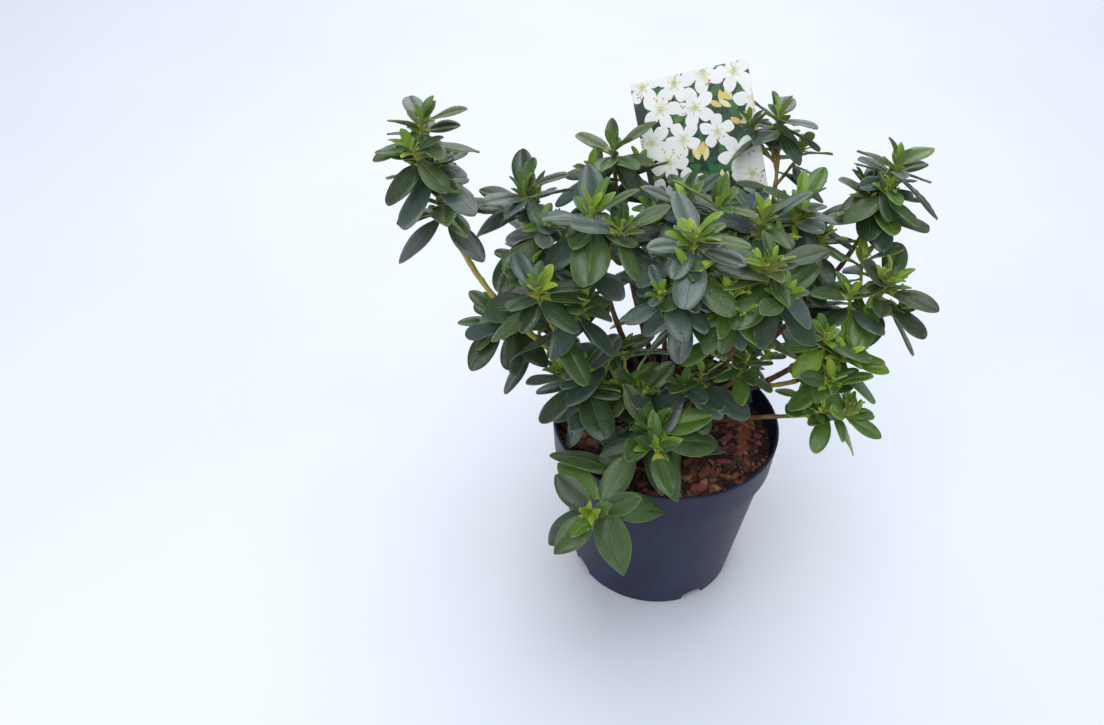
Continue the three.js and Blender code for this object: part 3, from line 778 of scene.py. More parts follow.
def prepare(plan, spec, draw):  # what the plan leaves open: colour, twist and breadth
    whorl = plan["whorls"][spec["whorl"]]
    if whorl["pick"] is None:
        whorl["pick"] = [int(draw() * colourChoices) for _ in colourByAge]
    choice = "fresh" if draw() < whorl["fresh"] ** leaf["freshPower"] else "plain"
    pick = whorl["pick"][spec["age"]] if draw() < leaf["ringColour"] else int(draw() * colourChoices)
    spec["colour"] = colourByAge[spec["age"]][choice][pick]
    if plan["tones"] and spec["age"] < grownAges:
        spec["colour"] = plan["tones"][int(draw() * len(plan["tones"]))]
    spec["twist"] = leaf["twist"] * (draw() - 0.5)
    spec["sway"] = leaf["sway"] * (draw() - 0.5)
    spec["broad"] = spread(leaf["broad"], draw)
    spec["wave"] = leaf["wavePhase"] * draw()
    least, more = leaf["tipward"]
    spec["tipward"] = least + more * (draw() + plan["pointed"])


# A leaf that would cut through what stands already tries again, turned a little, and in the end is left out.
placing = {
    "tries": 6,
    "nudge": (6, 5),  # degrees at the first try, and more at each later one
    "shrink": 0.05,  # of its length at each try
    "room": 5,  # how far a leaf may pass the CAD model's box
    "clear": (1, 3),  # rows at the root that may touch, for a grown leaf and for a young one
    "most": 6000,  # more than there are leaves and limbs
}
standing = {"trees": [], "low": np.zeros((placing["most"], 3)), "high": np.zeros((placing["most"], 3))}


def coarse(spec):
    points, tip = leafPoints(spec, {**builds[spec["age"]], "across": (-1, 0, 1), "rows": 6})
    blade = points[placing["clear"][spec["age"] >= grownAges]:, :3]
    places = np.concatenate([blade.reshape(-1, 3), tip[None]])
    rows = len(blade)
    faces = []
    for i in range(rows - 1):
        for j in (3 * i, 3 * i + 1):
            faces.append((j, j + 3, j + 4, j + 1))
    last = 3 * (rows - 1)
    faces += [(last, 3 * rows, last + 1), (last + 1, 3 * rows, last + 2)]
    return BVHTree.FromPolygons([Vector(p) for p in places], faces), places.min(0), places.max(0)


def stand(tree, low, high):
    n = len(standing["trees"])
    standing["low"][n] = low
    standing["high"][n] = high
    standing["trees"].append(tree)


def fits(tree, low, high):
    n = len(standing["trees"])
    near = np.all((standing["low"][:n] < high) & (standing["high"][:n] > low), axis=1)
    return not any(tree.overlap(standing["trees"][i]) for i in np.nonzero(near)[0])


def standNode(name):
    mesh = cadNodes[name].data
    points = [v.co / mm for v in mesh.vertices]
    tree = BVHTree.FromPolygons(points, [tuple(p.vertices) for p in mesh.polygons])
    stand(tree, np.min(points, axis=0), np.max(points, axis=0))


def withinBox(low, high):
    room = placing["room"]
    return all(low > np.array(cadLow) / mm - room) and all(high < np.array(cadHigh) / mm + room)


for node in ("pot", "potting_mix", "plant_tag", "trunk", *(n for n in cadNodes if n.startswith("bough_"))):
    standNode(node)

plans = [planHead(row, index) for index, row in enumerate(heads)]
draws = [seeded(index + 900) for index in range(len(heads))]
placed = [[] for _ in heads]


def placeAll(key):
    for i in range(max(len(plan[key]) for plan in plans)):
        for index, plan in enumerate(plans):
            if i >= len(plan[key]):
                continue
            spec = plan[key][i]
            draw = draws[index]
            prepare(plan, spec, draw)
            first = dict(spec)
            for attempt in range(placing["tries"]):
                tree, low, high = coarse(spec)
                if withinBox(low, high) and fits(tree, low, high):
                    stand(tree, low, high)
                    placed[index].append(spec)
                    break
                nudge = placing["nudge"][0] + placing["nudge"][1] * attempt
                spec["ahead"] = turned(first["ahead"], first["face"], nudge * (draw() - 0.5) * 2)
                side = np.cross(first["face"], spec["ahead"])
                tilt = nudge * (draw() - 0.5) * 2
                spec["ahead"] = turned(spec["ahead"], side, tilt)
                spec["face"] = turned(first["face"], side, tilt)
                spec["length"] = first["length"] * (1 - placing["shrink"] * attempt)


placeAll("leaves")
placeAll("finer")
planned = sum(len(plan["leaves"]) + len(plan["finer"]) for plan in plans)
print("stage leaves", sum(len(p) for p in placed), "of", planned)


def addLeaf(pile, spec):
    points, tip = leafPoints(spec, builds[spec["age"]])
    quads, quadKinds, tris, triKinds = builtFaces[spec["age"]]
    places = np.concatenate([points.reshape(-1, 3), spec["root"][None], tip[None]])
    quadMats, triMats = (np.where(kinds == 3, 3 * len(palette), 3 * spec["colour"] + kinds)
                         for kinds in (quadKinds, triKinds))
    addToPile(pile, places, quads, quadMats, tris, triMats)


def makeLeaves():
    materials = []
    for entry in palette:
        name = entry["name"]
        materials.append(waxyLeaf("azalea_leaf_upper_" + name, *entry["upper"], entry["bloom"]))
        materials.append(paleLeaf("azalea_leaf_rib_" + name, *entry["rib"]))
        materials.append(paleLeaf("azalea_leaf_under_" + name, *entry["under"]))
    materials.append(paleLeaf("azalea_leaf_base", *leafBase))
    full = 140000  # triangles at which the next head begins a new piece
    piles, nodes = [newPile()], [[]]
    for index, plan in enumerate(plans):
        if pileTriangles(piles[-1]) > full:
            piles.append(newPile())
            nodes.append([])
        nodes[-1].append("foliage_" + plan["name"])
        for spec in placed[index]:
            addLeaf(piles[-1], spec)
    for index, pile in enumerate(piles):
        makePiece("leaves_%d" % (index + 1), pile, materials, nodes[index], 55)


makeLeaves()


# Bark: trunk and boughs as one grown skin, each limb running on out of its parent.

skin = {
    "trunkSides": 40,
    "trunkRings": 40,
    "below": 4,  # how far the trunk goes on into the mix
    "above": 1.5,  # and over the height where the limbs part
    "flutes": 4,
    "fluteDepth": 0.12,
    "fluteHeight": 14,
    "relief": {"trunk": 0.14, "limb": 0.2, "twig": 0.16},  # how uneven, as a share of the radius
    "ring": 2.2,  # from one ring of a limb to the next
    "lead": (0, 0.35, 0.7),  # where its first rings lie, as a limb runs out of its parent
    "rootSwell": (1.45, 1.4, 1.18),  # and how thick they are, times the limb's thickness
    "scar": 0.13,  # swelling at the scars of old leaves
    "maroon": (0.55, 0.25),  # share of a limb that has maroon bark, on most limbs and on yellow-green ones
    "knots": 0.1,  # swellings along a twig
    "woody": 0.3,  # share of a leafy stem that is woody
    "flushed": (0.75, 0.5),  # where the red ends on a stem and on a side twig
    "greenHead": 0.55,  # a head with more new growth than this has no red on its shoots
}


def barkRelief(amount, seed):
    def relief(i, centre, turns):
        lift = []
        for turn in turns:
            x, y = centre[0] * 0.35 + 3 * math.cos(turn) + seed, centre[1] * 0.35 + 3 * math.sin(turn)
            p = Vector((x, y, centre[2] * 0.12))  # long along the limb
            lift.append(1 + amount * noise.noise(p) + 0.5 * amount * noise.noise(p * 2.7))
        return np.array(lift)
    return relief


def addTrunk(pile):
    count = skin["trunkRings"]
    heights = np.linspace(-skin["below"], trunk["height"] + skin["above"], count)
    points = [trunkCentre(trunk["foot"] + h) for h in heights]
    radii = []
    for h in heights:
        narrow = 1 if h < trunk["height"] - 1 else 0.8
        radii.append(trunkRadius(trunk["foot"] + max(h, 0)) * narrow)

    def relief(i, centre, turns):
        depth = skin["fluteDepth"] * max(0, 1 - heights[i] / skin["fluteHeight"])
        uneven = barkRelief(skin["relief"]["trunk"], 0)(i, centre, turns)
        return uneven + depth * np.cos(skin["flutes"] * turns)
    addTube(pile, points, radii, skin["trunkSides"], 0, relief)


def addBough(pile, row, seed):
    grown = limbs[row["name"]]
    steps = max(24, int(grown["length"] * grown["split"] / skin["ring"]))
    shares = np.linspace(0, grown["split"], steps)
    run = [pointAt(grown["curve"], t) for t in shares]
    inside = grown["joint"] - unit(run[0] - grown["joint"]) * 1.0
    lead = [blend(inside, run[0], t) for t in skin["lead"]]
    radii = [grown["thick"] * swell for swell in skin["rootSwell"]]
    for i, t in enumerate(shares):
        swell = skin["scar"] * max(0, math.sin(i * 1.1 + seed)) ** 6
        radii.append(blend(grown["thick"], stem["root"], t / grown["split"]) * (1 + swell))
    maroon = steps * skin["maroon"][row["bark"] != usual["bark"]] + 3 * math.sin(seed)
    mats = [1 if i < maroon else row["bark"] for i in range(len(radii))]
    relief = barkRelief(skin["relief"]["limb"], seed * 3.7)
    addTube(pile, lead + run, radii, limb["sides"], mats, relief)


def makeBark():
    pile = newPile()
    addTrunk(pile)
    for seed, row in enumerate(heads):
        addBough(pile, row, seed)
    materials = [
        barkMaterial("azalea_bark_old", "#4a3328", "#5d4435", "#2c1d18"),
        barkMaterial("azalea_bark_maroon", "#4b2624", "#5c3029", "#2a1514", 0.62),
        barkMaterial("azalea_bark_young", "#6a3a26", "#6f5a30", "#3d2219", 0.58),
        barkMaterial("azalea_bark_green", "#a6983a", "#b2a446", "#8a6a30", 0.52),
    ]
    makePiece("bark", pile, materials, ["trunk"] + ["bough_" + row["name"] for row in heads], 60)


def makeTwigs():
    pile = newPile()
    for index, plan in enumerate(plans):
        young = int(heads[index]["fresh"] > skin["greenHead"])  # material: 0 is flushed with red, 1 green
        for number, (line, kind) in enumerate(plan["twigs"]):
            shares = np.linspace(-kind["inside"], 1, kind["rings"])
            points = [pointAt(line, t) for t in shares]
            radii = []
            for t in shares:
                knots = 1 + skin["knots"] * math.sin(27 * t + index)
                radii.append(blend(kind["root"], kind["tip"], t) * knots)
            radii[-1] *= 0.6  # rounded off at the tip
            flushed = skin["flushed"][kind is not stem]
            mats = [young if t < flushed else 1 for t in shares]
            if kind is stem:
                mats = [2 if t < skin["woody"] else mat for t, mat in zip(shares, mats)]
            relief = barkRelief(skin["relief"]["twig"], index + number * 5.3)
            addTube(pile, points, radii, kind["sides"], mats, relief)
    materials = [
        greenStem("azalea_stem_red_flushed", "#7a6230", "#8b7a38"),
        greenStem("azalea_stem_green", "#8f9438", "#a09238"),
        greenStem("azalea_stem_woody", "#6b4a2b", "#7d6634"),
    ]
    makePiece("twigs", pile, materials)


bud = {
    "sides": 12,
    "tall": 4.2,  # on the leading shoot
    "small": 3.2,
    "height": (0.85, 0.3),
    "half": 0.3,  # of its height
    "rings": (0, 0.2, 0.45, 0.7, 0.88, 0.97),  # where along it, and how wide
    "profile": (0.55, 0.9, 1, 0.72, 0.38, 0.14),
    "scales": 0.14,  # relief of the folded scales
}


def makeBuds():  # a tight cone of folded scales closes each shoot
    pile = newPile()
    for index, plan in enumerate(plans):
        draw = seeded(index + 1300)
        for line, kind in plan["twigs"]:
            tip = pointAt(line, 1)
            ahead = unit(tangentAt(line, 1) * ringHabit["follow"] + up * ringHabit["lift"])
            height = (bud["tall"] if kind is stem else bud["small"]) * spread(bud["height"], draw)
            points = [tip + ahead * height * (t - 0.1) for t in bud["rings"]]
            radii = [height * bud["half"] * r for r in bud["profile"]]
            phase = 6 * draw()

            def relief(i, centre, turns):
                return 1 + bud["scales"] * np.abs(np.sin(1.5 * turns + phase + i * 0.5))
            addTube(pile, points, radii, bud["sides"], int(draw() * 2), relief)
    materials = [
        greenStem("azalea_bud_scale_lime", "#93ad3f", "#a9b94e"),
        greenStem("azalea_bud_scale_yellow", "#b5bd55", "#9fae48"),
    ]
    makePiece("buds", pile, materials)


makeBark()
makeTwigs()
makeBuds()
print("stage plant done")


# Pot

pot = {
    "height": 124,
    "rimRadius": 75,
    "footRadius": 57,
    "wall": 1.6,
    "collarHeight": 22,
    "collarStep": 3,
    "collarDraft": 1.5,
    "wallEnd": 2.2,  # how far under the collar's foot the straight wall ends
    "collarFillet": 0.9,  # radius of the soft inner corner under the collar
    "filletDrop": 2.0,  # how far its middle lies under the collar's foot
    "collarEdge": 0.7,  # radius of the collar's rounded lower edge
    "edgeDrop": 0.5,  # and how low its middle lies
    "chamfer": 1.5,
    "padRadius": 18,
    "recess": 7,
    "recessRadius": 45,
    "lip": 0.7,  # radius of the rim's rounded edge
    "lipRise": 2.5,  # how far under the lip the collar's face ends
    "sides": 180,
    "notches": 4,
    "notchTurn": -63,
    "notchWidth": 17,
    "notchShoulder": 3,  # height of its straight sides, under a low arch
    "notchHeight": 7.6,
    "crease": 35,  # degrees
}
collarFoot = pot["height"] - pot["collarHeight"]
collarRadius = pot["rimRadius"] - pot["collarDraft"]
wallTop = collarRadius - pot["collarStep"]


def potMaterial():
    # Thermoformed recycled polypropylene, dark slate: an even fine-grained satin skin, with pale dust and
    # water marks that lie in patches and thicken towards the foot. The grain is drawn at 0.7 mm, coarser than
    # life, so that it shows.
    material, tree, shader, where = newMaterial("thermoformed_polypropylene_slate", {
        "IOR": 1.49, "Specular IOR Level": 0.3})
    height = addNode(tree, "ShaderNodeSeparateXYZ", {}, {"Vector": where}).outputs["Z"]
    fade = {"From Max": 55 * mm, "To Min": 1.0, "To Max": 0.25}
    low = addNode(tree, "ShaderNodeMapRange", fade, {"Value": height}).outputs["Result"]
    smear = addNode(tree, "ShaderNodeMapping", {"Scale": (1, 1, 0.4)}, {"Vector": where}).outputs["Vector"]
    dust = patches(tree, smear, 16, 6, 0.7, (0.5, 0.75))
    marks = addNode(tree, "ShaderNodeMath", {"operation": "MULTIPLY"}, {0: dust, 1: low}).outputs["Value"]
    base = patched(tree, where, 40, "#171d35", "#1d243e", 3, 0.5)
    marked = addNode(tree, "ShaderNodeMix", {"data_type": "RGBA", 7: linear("#40486a")}, {0: marks, 6: base})
    gloss = addNode(tree, "ShaderNodeMapRange", {"To Min": 0.42, "To Max": 0.75}, {"Value": marks})
    grain = patches(tree, where, 0.7, 2, 0.5)
    dress(tree, shader, marked.outputs[2], gloss.outputs["Result"], grain, 0.08, 0.35)
    return material


def arc(cx, cz, radius, start, end, steps):
    turns = [math.radians(blend(start, end, i / steps)) for i in range(steps + 1)]
    return [(cx + radius * math.cos(t), cz + radius * math.sin(t)) for t in turns]


def innerRadius(z):
    return blend(pot["footRadius"], wallTop, min(z / collarFoot, 1)) - pot["wall"]


def lathe(profile, sides):
    turns = 2 * np.pi * np.arange(sides) / sides
    return [np.stack([r * np.cos(turns), r * np.sin(turns), np.full(sides, z)], axis=-1) for r, z in profile]


def makePot():
    floor = pot["recess"] + pot["wall"]
    chamfer, fillet, edge, lip = pot["chamfer"], pot["collarFillet"], pot["collarEdge"], pot["lip"]
    profile = [(pot["padRadius"], 0), (pot["padRadius"] + 1, pot["recess"]),
               (pot["recessRadius"], pot["recess"]), (pot["recessRadius"] + 1, 0)]
    profile += arc(pot["footRadius"] - chamfer, chamfer, chamfer, -90, -8, 5)
    for t in np.arange(1, 11) / 10:
        z = blend(chamfer, collarFoot - pot["wallEnd"], t)
        profile.append((blend(pot["footRadius"], wallTop, t), z))
    profile += arc(wallTop + fillet, collarFoot - pot["filletDrop"], fillet, 180, 90, 4)
    profile += arc(collarRadius - edge, collarFoot - pot["edgeDrop"], edge, -80, 0, 5)
    for t in (0.25, 0.5, 0.75, 1):
        profile.append((blend(collarRadius, pot["rimRadius"] - 0.15, t),
                        blend(collarFoot, pot["height"] - lip - pot["lipRise"], t)))
    profile += arc(pot["rimRadius"] - lip, pot["height"] - lip, lip, 0, 90, 6)
    profile += arc(pot["rimRadius"] - pot["wall"] - 0.1 + lip, pot["height"] - lip, lip, 90, 180, 6)
    profile += [(collarRadius - pot["wall"], collarFoot + 2), (innerRadius(collarFoot), collarFoot),
                (innerRadius(floor), floor)]
    pile = newPile()
    addLoft(pile, lathe(profile, pot["sides"]), [(0, 0, 0), (0, 0, floor)], 0)
    piece = makePiece("pot_shell", pile, [potMaterial()], ["pot"], pot["crease"])
    cutNotches(piece)


def cutNotches(piece):
    half, shoulder, high = pot["notchWidth"] / 2, pot["notchShoulder"], pot["notchHeight"]
    below = -3  # the cutter reaches under the foot
    arch = []
    for t in np.linspace(0, np.pi, 25):
        arch.append((half * math.cos(t), shoulder + (high - shoulder) * math.sin(t)))
    outline = [(half, below), *arch, (-half, below)]
    cutters = newPile()
    for i in range(pot["notches"]):
        turn = pot["notchTurn"] + 360 * i / pot["notches"]
        ends = (around(turn, pot["recessRadius"] - 2, 0), around(turn, pot["footRadius"] + 4, 0))
        rings = [[end + around(turn + 90, w, z) for w, z in outline] for end in ends]
        addLoft(cutters, rings, [ends[0] + up, ends[1] + up], 0)
    cutter = makePiece("notch_cutter", cutters, [])
    cut = piece.modifiers.new("notches", "BOOLEAN")
    cut.operation = "DIFFERENCE"
    cut.solver = "EXACT"
    cut.use_self = True
    cut.object = cutter
    bpy.context.view_layer.update()
    cutMesh = bpy.data.meshes.new_from_object(piece.evaluated_get(bpy.context.evaluated_depsgraph_get()))
    piece.modifiers.clear()
    piece.data = cutMesh
    cutMesh.shade_smooth()
    cutMesh.set_sharp_from_angle(angle=math.radians(pot["crease"]))
    bpy.data.objects.remove(cutter)


# Potting mix: a lumpy top, bark chips, crumbs and fibres

soil = {
    "top": 110,
    "mound": 3,
    "shoulder": 48,
    "crown": 22,
    "edge": 72,  # radius at which it meets the pot
    "sink": 0.6,  # below the CAD model's top, so that the clods stay within it
    "lump": 1.3,  # height of the clods
    "clods": ((1, 0.09), (0.6, 0.21), (0.35, 0.5)),  # share, and how many to the millimetre
    "gaps": (0.35, 0.4, 0.3),  # to the pot's collar, wall and floor
    "sides": 220,
    "rings": 84,
    "loose": 71.2,  # radius within which loose pieces lie
}
chip = {
    "count": 620,
    "sizes": (3, 4, 5, 6, 7, 9, 12),
    "vary": (0.8, 1.3),
    "width": (0.45, 0.8),  # share of the length, as uneven is of the radius
    "corners": (6, 8),
    "uneven": (0.75, 1.1),
    "rings": ((0.8, -0.5), (1, -0.15), (0.95, 0.3), (0.72, 0.5)),  # how wide, and how high in its thickness
    "rough": 0.12,  # share of the thickness
    "cup": 0.04,
    "tilt": (0.32, 0.25),  # radians, along and across
    "thick": (0.22, 0.5, 2.6),  # share of the size, and more, and at most
    "kinds": (0, 0, 1, 1, 1, 2),  # materials, as often as each comes up
}
crumb = {
    "count": 2600,
    "sizes": (0.5, 0.7, 0.9, 1.2, 1.6, 2.2),
    "vary": (0.7, 1.2),
    "uneven": (0.7, 1.25),
    "long": (0.8, 1.4),  # share of the size
    "high": 0.8,
    "kinds": (0, 0, 0, 1, 1, 2),
}
fibre = {
    "count": 90,
    "length": (6, 24),
    "radius": (0.16, 0.42),
    "bow": 0.25,  # share of the length
    "lift": (0.9, 1.2),  # over the mix, and how much more in places
    "rings": 9,
    "sides": 6,
}


def soilHeight(x, y):
    r = math.hypot(x, y)
    if r > soil["shoulder"]:
        t = min(1, (soil["edge"] - r) / (soil["edge"] - soil["shoulder"]))
        base = blend(soil["top"], soil["top"] + 0.6 * soil["mound"], t)
    else:
        t = min(1, (soil["shoulder"] - r) / (soil["shoulder"] - soil["crown"]))
        base = soil["top"] + blend(0.6, 1, t) * soil["mound"]
    p = Vector((x, y, 0))
    lump = sum(share * noise.noise(p * often) for share, often in soil["clods"])
    return base - soil["sink"] + soil["lump"] * lump


def makeMix():
    collarGap, wallGap, floorGap = soil["gaps"]
    rim = collarRadius - pot["wall"] - collarGap
    floor = pot["recess"] + pot["wall"] + floorGap
    below = collarFoot - 1
    turns = 2 * np.pi * np.arange(soil["sides"]) / soil["sides"]
    rings = []
    for i in range(soil["rings"]):
        r = rim * ((i + 1) / soil["rings"]) ** 0.8  # closer together towards the edge
        flat = [(r * math.cos(t), r * math.sin(t)) for t in turns]
        rings.append([(x, y, soilHeight(x, y)) for x, y in flat])
    rings += lathe([(rim - 0.9, collarFoot + 3), (innerRadius(below) - wallGap, below),
                    (innerRadius(floor) - wallGap, floor)], soil["sides"])
    pile = newPile()
    addLoft(pile, rings, [(0, 0, soilHeight(0, 0)), (0, 0, floor)], 0, inward=True)
    peat = peatMaterial("damp_peat", "#2f1f1c", "#432d26", 5)
    makePiece("potting_mix_body", pile, [peat], ["potting_mix"], 70)


def addChip(pile, dice, centre, size, mat, thick):
    # a flake of bark: an uneven outline, rounded over at its edge
    corners = dice.randint(*chip["corners"])
    turns = [2 * math.pi * (k + 0.5 * dice.random()) / corners for k in range(corners)]
    long, wide = size / 2, size / 2 * dice.uniform(*chip["width"])
    reach = [dice.uniform(*chip["uneven"]) for _ in turns]
    points = []
    for scale, z in chip["rings"]:
        for t, s in zip(turns, reach):
            rough = chip["rough"] * thick * dice.uniform(-1, 1)
            points.append((long * math.cos(t) * s * scale, wide * math.sin(t) * s * scale, z * thick + rough))
    points = np.array(points + [(0, 0, -0.5 * thick), (0, 0, 0.55 * thick)])
    points[:, 2] += chip["cup"] * points[:, 0] ** 2 / max(size, 1) * dice.uniform(-1, 1)
    along, across = chip["tilt"]
    lean = Matrix.Rotation(dice.uniform(0, 6.28), 3, "Z") @ Matrix.Rotation(dice.gauss(0, along), 3, "X")
    lean = lean @ Matrix.Rotation(dice.gauss(0, across), 3, "Y")
    points = points @ np.array(lean).T + centre
    addLoft(pile, points[:-2].reshape(len(chip["rings"]), corners, 3), points[-2:], mat)


def scatter(dice, margin):  # a place on the mix, clear of the trunk and the pot's wall
    while True:
        x, y = dice.uniform(-soil["edge"], soil["edge"]), dice.uniform(-soil["edge"], soil["edge"])
        if trunk["flare"] * 0.8 < math.hypot(x, y) < soil["loose"] - margin:
            return x, y


def makeChips():
    dice = random.Random(7)
    pile = newPile()
    share, more, most = chip["thick"]
    for _ in range(chip["count"]):
        size = dice.choice(chip["sizes"]) * dice.uniform(*chip["vary"])
        x, y = scatter(dice, size * 0.55)
        thick = min(most, share * size + more)
        centre = (x, y, soilHeight(x, y) + 0.25 * thick)
        addChip(pile, dice, centre, size, dice.choice(chip["kinds"]), thick)
    materials = [
        peatMaterial("composted_bark_dark", "#422c28", "#55382f", 3, 0.85),
        peatMaterial("pine_bark_red", "#7e4639", "#935644", 3, 0.8),
        peatMaterial("pine_bark_tan", "#a06b52", "#b07d62", 3, 0.8),
    ]
    makePiece("bark_chips", pile, materials, (), 40)


def icosahedron():  # twelve corners at a distance of 1, and twenty faces
    golden = (1 + 5 ** 0.5) / 2
    corners = [(0, a, b * golden) for a in (-1, 1) for b in (-1, 1)]
    corners = [np.roll(c, shift) for shift in range(3) for c in corners]
    corners = np.array(corners) / math.hypot(1, golden)
    edge = 1.1  # a little over its length
    faces = []
    for i in range(12):
        for j in range(i + 1, 12):
            for k in range(j + 1, 12):
                a, b, c = corners[i], corners[j], corners[k]
                if max(np.linalg.norm(a - b), np.linalg.norm(b - c), np.linalg.norm(a - c)) < edge:
                    faces.append((i, j, k) if np.dot(np.cross(b - a, c - a), a) > 0 else (i, k, j))
    return corners, faces


def makeCrumbs():
    dice = random.Random(11)
    corners, faces = icosahedron()
    pile = newPile()
    for _ in range(crumb["count"]):
        size = dice.choice(crumb["sizes"]) * dice.uniform(*crumb["vary"])
        x, y = scatter(dice, size)
        shape = np.array([[dice.uniform(*crumb["uneven"]) for _ in range(3)] for _ in corners])
        points = corners * shape * size * [dice.uniform(*crumb["long"]), 1, crumb["high"]]
        centre = (x, y, soilHeight(x, y) + 0.2 * size)
        addToPile(pile, points + centre, (), (), faces, [dice.choice(crumb["kinds"])] * len(faces))
    materials = [
        peatMaterial("peat_crumb_dark", "#291c1a", "#3c2924", 2, 0.92),
        peatMaterial("peat_crumb_brown", "#573b30", "#684839", 2, 0.9),
        peatMaterial("peat_crumb_light", "#85604a", "#946d55", 2, 0.88),
    ]
    makePiece("peat_crumbs", pile, materials, (), 80)


def makeFibres():
    dice = random.Random(23)
    pile = newPile()
    count = fibre["rings"]
    for _ in range(fibre["count"]):
        length = dice.uniform(*fibre["length"])
        x, y = scatter(dice, 3 + length / 2)
        turn = dice.uniform(0, 360)
        bow = dice.uniform(-fibre["bow"], fibre["bow"]) * length
        points = []
        for t in np.linspace(-0.5, 0.5, count):
            flat = around(turn, length * t, 0) + around(turn + 90, bow * (0.25 - t * t) * 4, 0)
            px, py = x + flat[0], y + flat[1]
            lift = fibre["lift"][1] * abs(noise.noise(Vector((px, py, 5)) * 0.2))
            points.append((px, py, soilHeight(px, py) + fibre["lift"][0] + lift))
        radius = dice.uniform(*fibre["radius"])
        radii = [radius * 0.5, *[radius] * (count - 2), radius * 0.5]
        addTube(pile, points, radii, fibre["sides"], dice.choice((0, 1)))
    materials = [
        peatMaterial("coir_fibre_brown", "#5a3a28", "#6c4831", 1.5, 0.85),
        peatMaterial("coir_fibre_dark", "#33211b", "#453026", 1.5, 0.85),
    ]
    makePiece("coir_fibres", pile, materials, (), 80)


makePot()
makeMix()
makeChips()
makeCrumbs()
makeFibres()
print("stage pot done")


# Tag: a card on a stake, with a made-up print of white blossoms

tag = {
    "width": 75,
    "height": 115,
    "corner": 4,
    "thick": 0.45,
    "bevel": (0.15, 0.1),  # inward and in depth
    "stake": 9,
    "stakeThick": 1.6,
    "overlap": 12,  # how far the stake goes up behind the card
    "top": (5.4, 110.9, 317.1),
    "down": (0.239, -0.369, -0.898),
    "right": (0.958, -0.063, 0.281),
    "margin": 0.3,  # bare edge round the print
    "layer": 0.006,  # one ink layer over the next
    "bandHeight": 30,  # plain band at the foot of the print
    "bandRise": 3,  # how far its upper edge bows up
    "bandLayer": 46,  # over all the blossoms
}
blossoms = {
    "columns": 4,
    "rows": 6,
    "step": 20,
    "rowStep": 0.86,  # times the step
    "firstRow": 4,  # under the card's upper edge
    "shift": 2.5,
    "size": (11, 13.5),
    "leaves": 150,
    "leafLong": (8, 15),
    "leafWide": (3.5, 6),
    "budShare": 0.2,  # how often buds stand in place of a blossom
    "buds": 5,
    "budTurn": (0.6, 2.6),  # radians
    "budAside": (-5, 5),  # from the middle of its cluster
    "budRise": (-6, 3),
    "budSize": (9, 3.6),
    "petals": 5,
    "petalWidth": 0.95,  # share of a petal's length, as throat and stamenReach are too
    "throat": (0.42, 0.13),  # length and width of a mark
    "stamens": 6,
    "stamenTurn": 0.9,  # radians to either side
    "stamenReach": (0.45, 0.75),
    "filament": 0.12,  # half its width
    "anther": (1.3, 0.9),
    "layers": 8,  # of ink in one blossom, front to back
}


def tagFrame():
    rise = -unit(np.array(tag["down"]))
    length = (tag["top"][2] - (soil["top"] + soil["mound"] + 1)) / rise[2]
    foot = np.array(tag["top"]) - rise * length
    right = unit(np.array(tag["right"]) - rise * np.dot(tag["right"], rise))
    return foot, right, rise, np.cross(right, rise), length


def clipped(outline, low, high):  # a flat outline cut to a rectangle
    for axis in (0, 1):
        for bound, sign in ((low[axis], 1), (high[axis], -1)):
            cut = []
            for i, p in enumerate(outline):
                q = outline[(i + 1) % len(outline)]
                dp, dq = sign * (p[axis] - bound), sign * (q[axis] - bound)
                if dp >= 0:
                    cut.append(p)
                if dp * dq < 0:
                    t = dp / (dp - dq)
                    cut.append((p[0] + (q[0] - p[0]) * t, p[1] + (q[1] - p[1]) * t))
            outline = cut
            if len(outline) < 3:
                return []
    return outline


def addFlat(pile, place, outline, middle, mat, layer):  # ink of one colour on the card
    foot, right, rise, face = place[:4]
    depth = tag["thick"] + layer * tag["layer"]
    points = [foot + right * x + rise * y + face * depth for x, y in [*outline, middle]]
    faces = fanFaces(len(outline), len(outline), 0, True)
    addToPile(pile, points, (), (), faces, [mat] * len(faces))


def printShape(pile, place, outline, mat, layer):
    length = place[4]
    side, margin = tag["width"] / 2, tag["margin"]
    outline = clipped(outline, (-side + margin, length - tag["height"] + tag["bandHeight"]),
                      (side - margin, length - margin))
    if outline:
        addFlat(pile, place, outline, np.mean(outline, axis=0), mat, layer)


def turnedFlat(x, y, turn, along, sideways):
    return (x + along * math.cos(turn) - sideways * math.sin(turn),
            y + along * math.sin(turn) + sideways * math.cos(turn))


def petalOutline(x, y, turn, long, wide, ruffle):  # broad and blunt, with a ruffled edge
    outline = []
    for i in range(21):
        t = i / 20
        edge = 1 + 0.05 * math.sin(ruffle + 11 * t)
        along = long * (0.04 + 0.96 * math.sin(math.pi * t) ** 0.7) * edge
        full = math.sin(math.pi * t) ** 0.35 if 0 < t < 1 else 0
        outline.append(turnedFlat(x, y, turn, along, -wide / 2 * math.cos(math.pi * t) * full))
    return outline[::-1]


def leafOutline(x, y, turn, long, wide):  # pointed at both ends
    outline = []
    for side in (1, -1):
        for i in range(8):
            t = i / 8 if side == 1 else 1 - i / 8
            w = side * wide / 2 * math.sin(math.pi * t) ** 0.8
            outline.append(turnedFlat(x, y, turn, long * t, w))
    return outline[::-1]


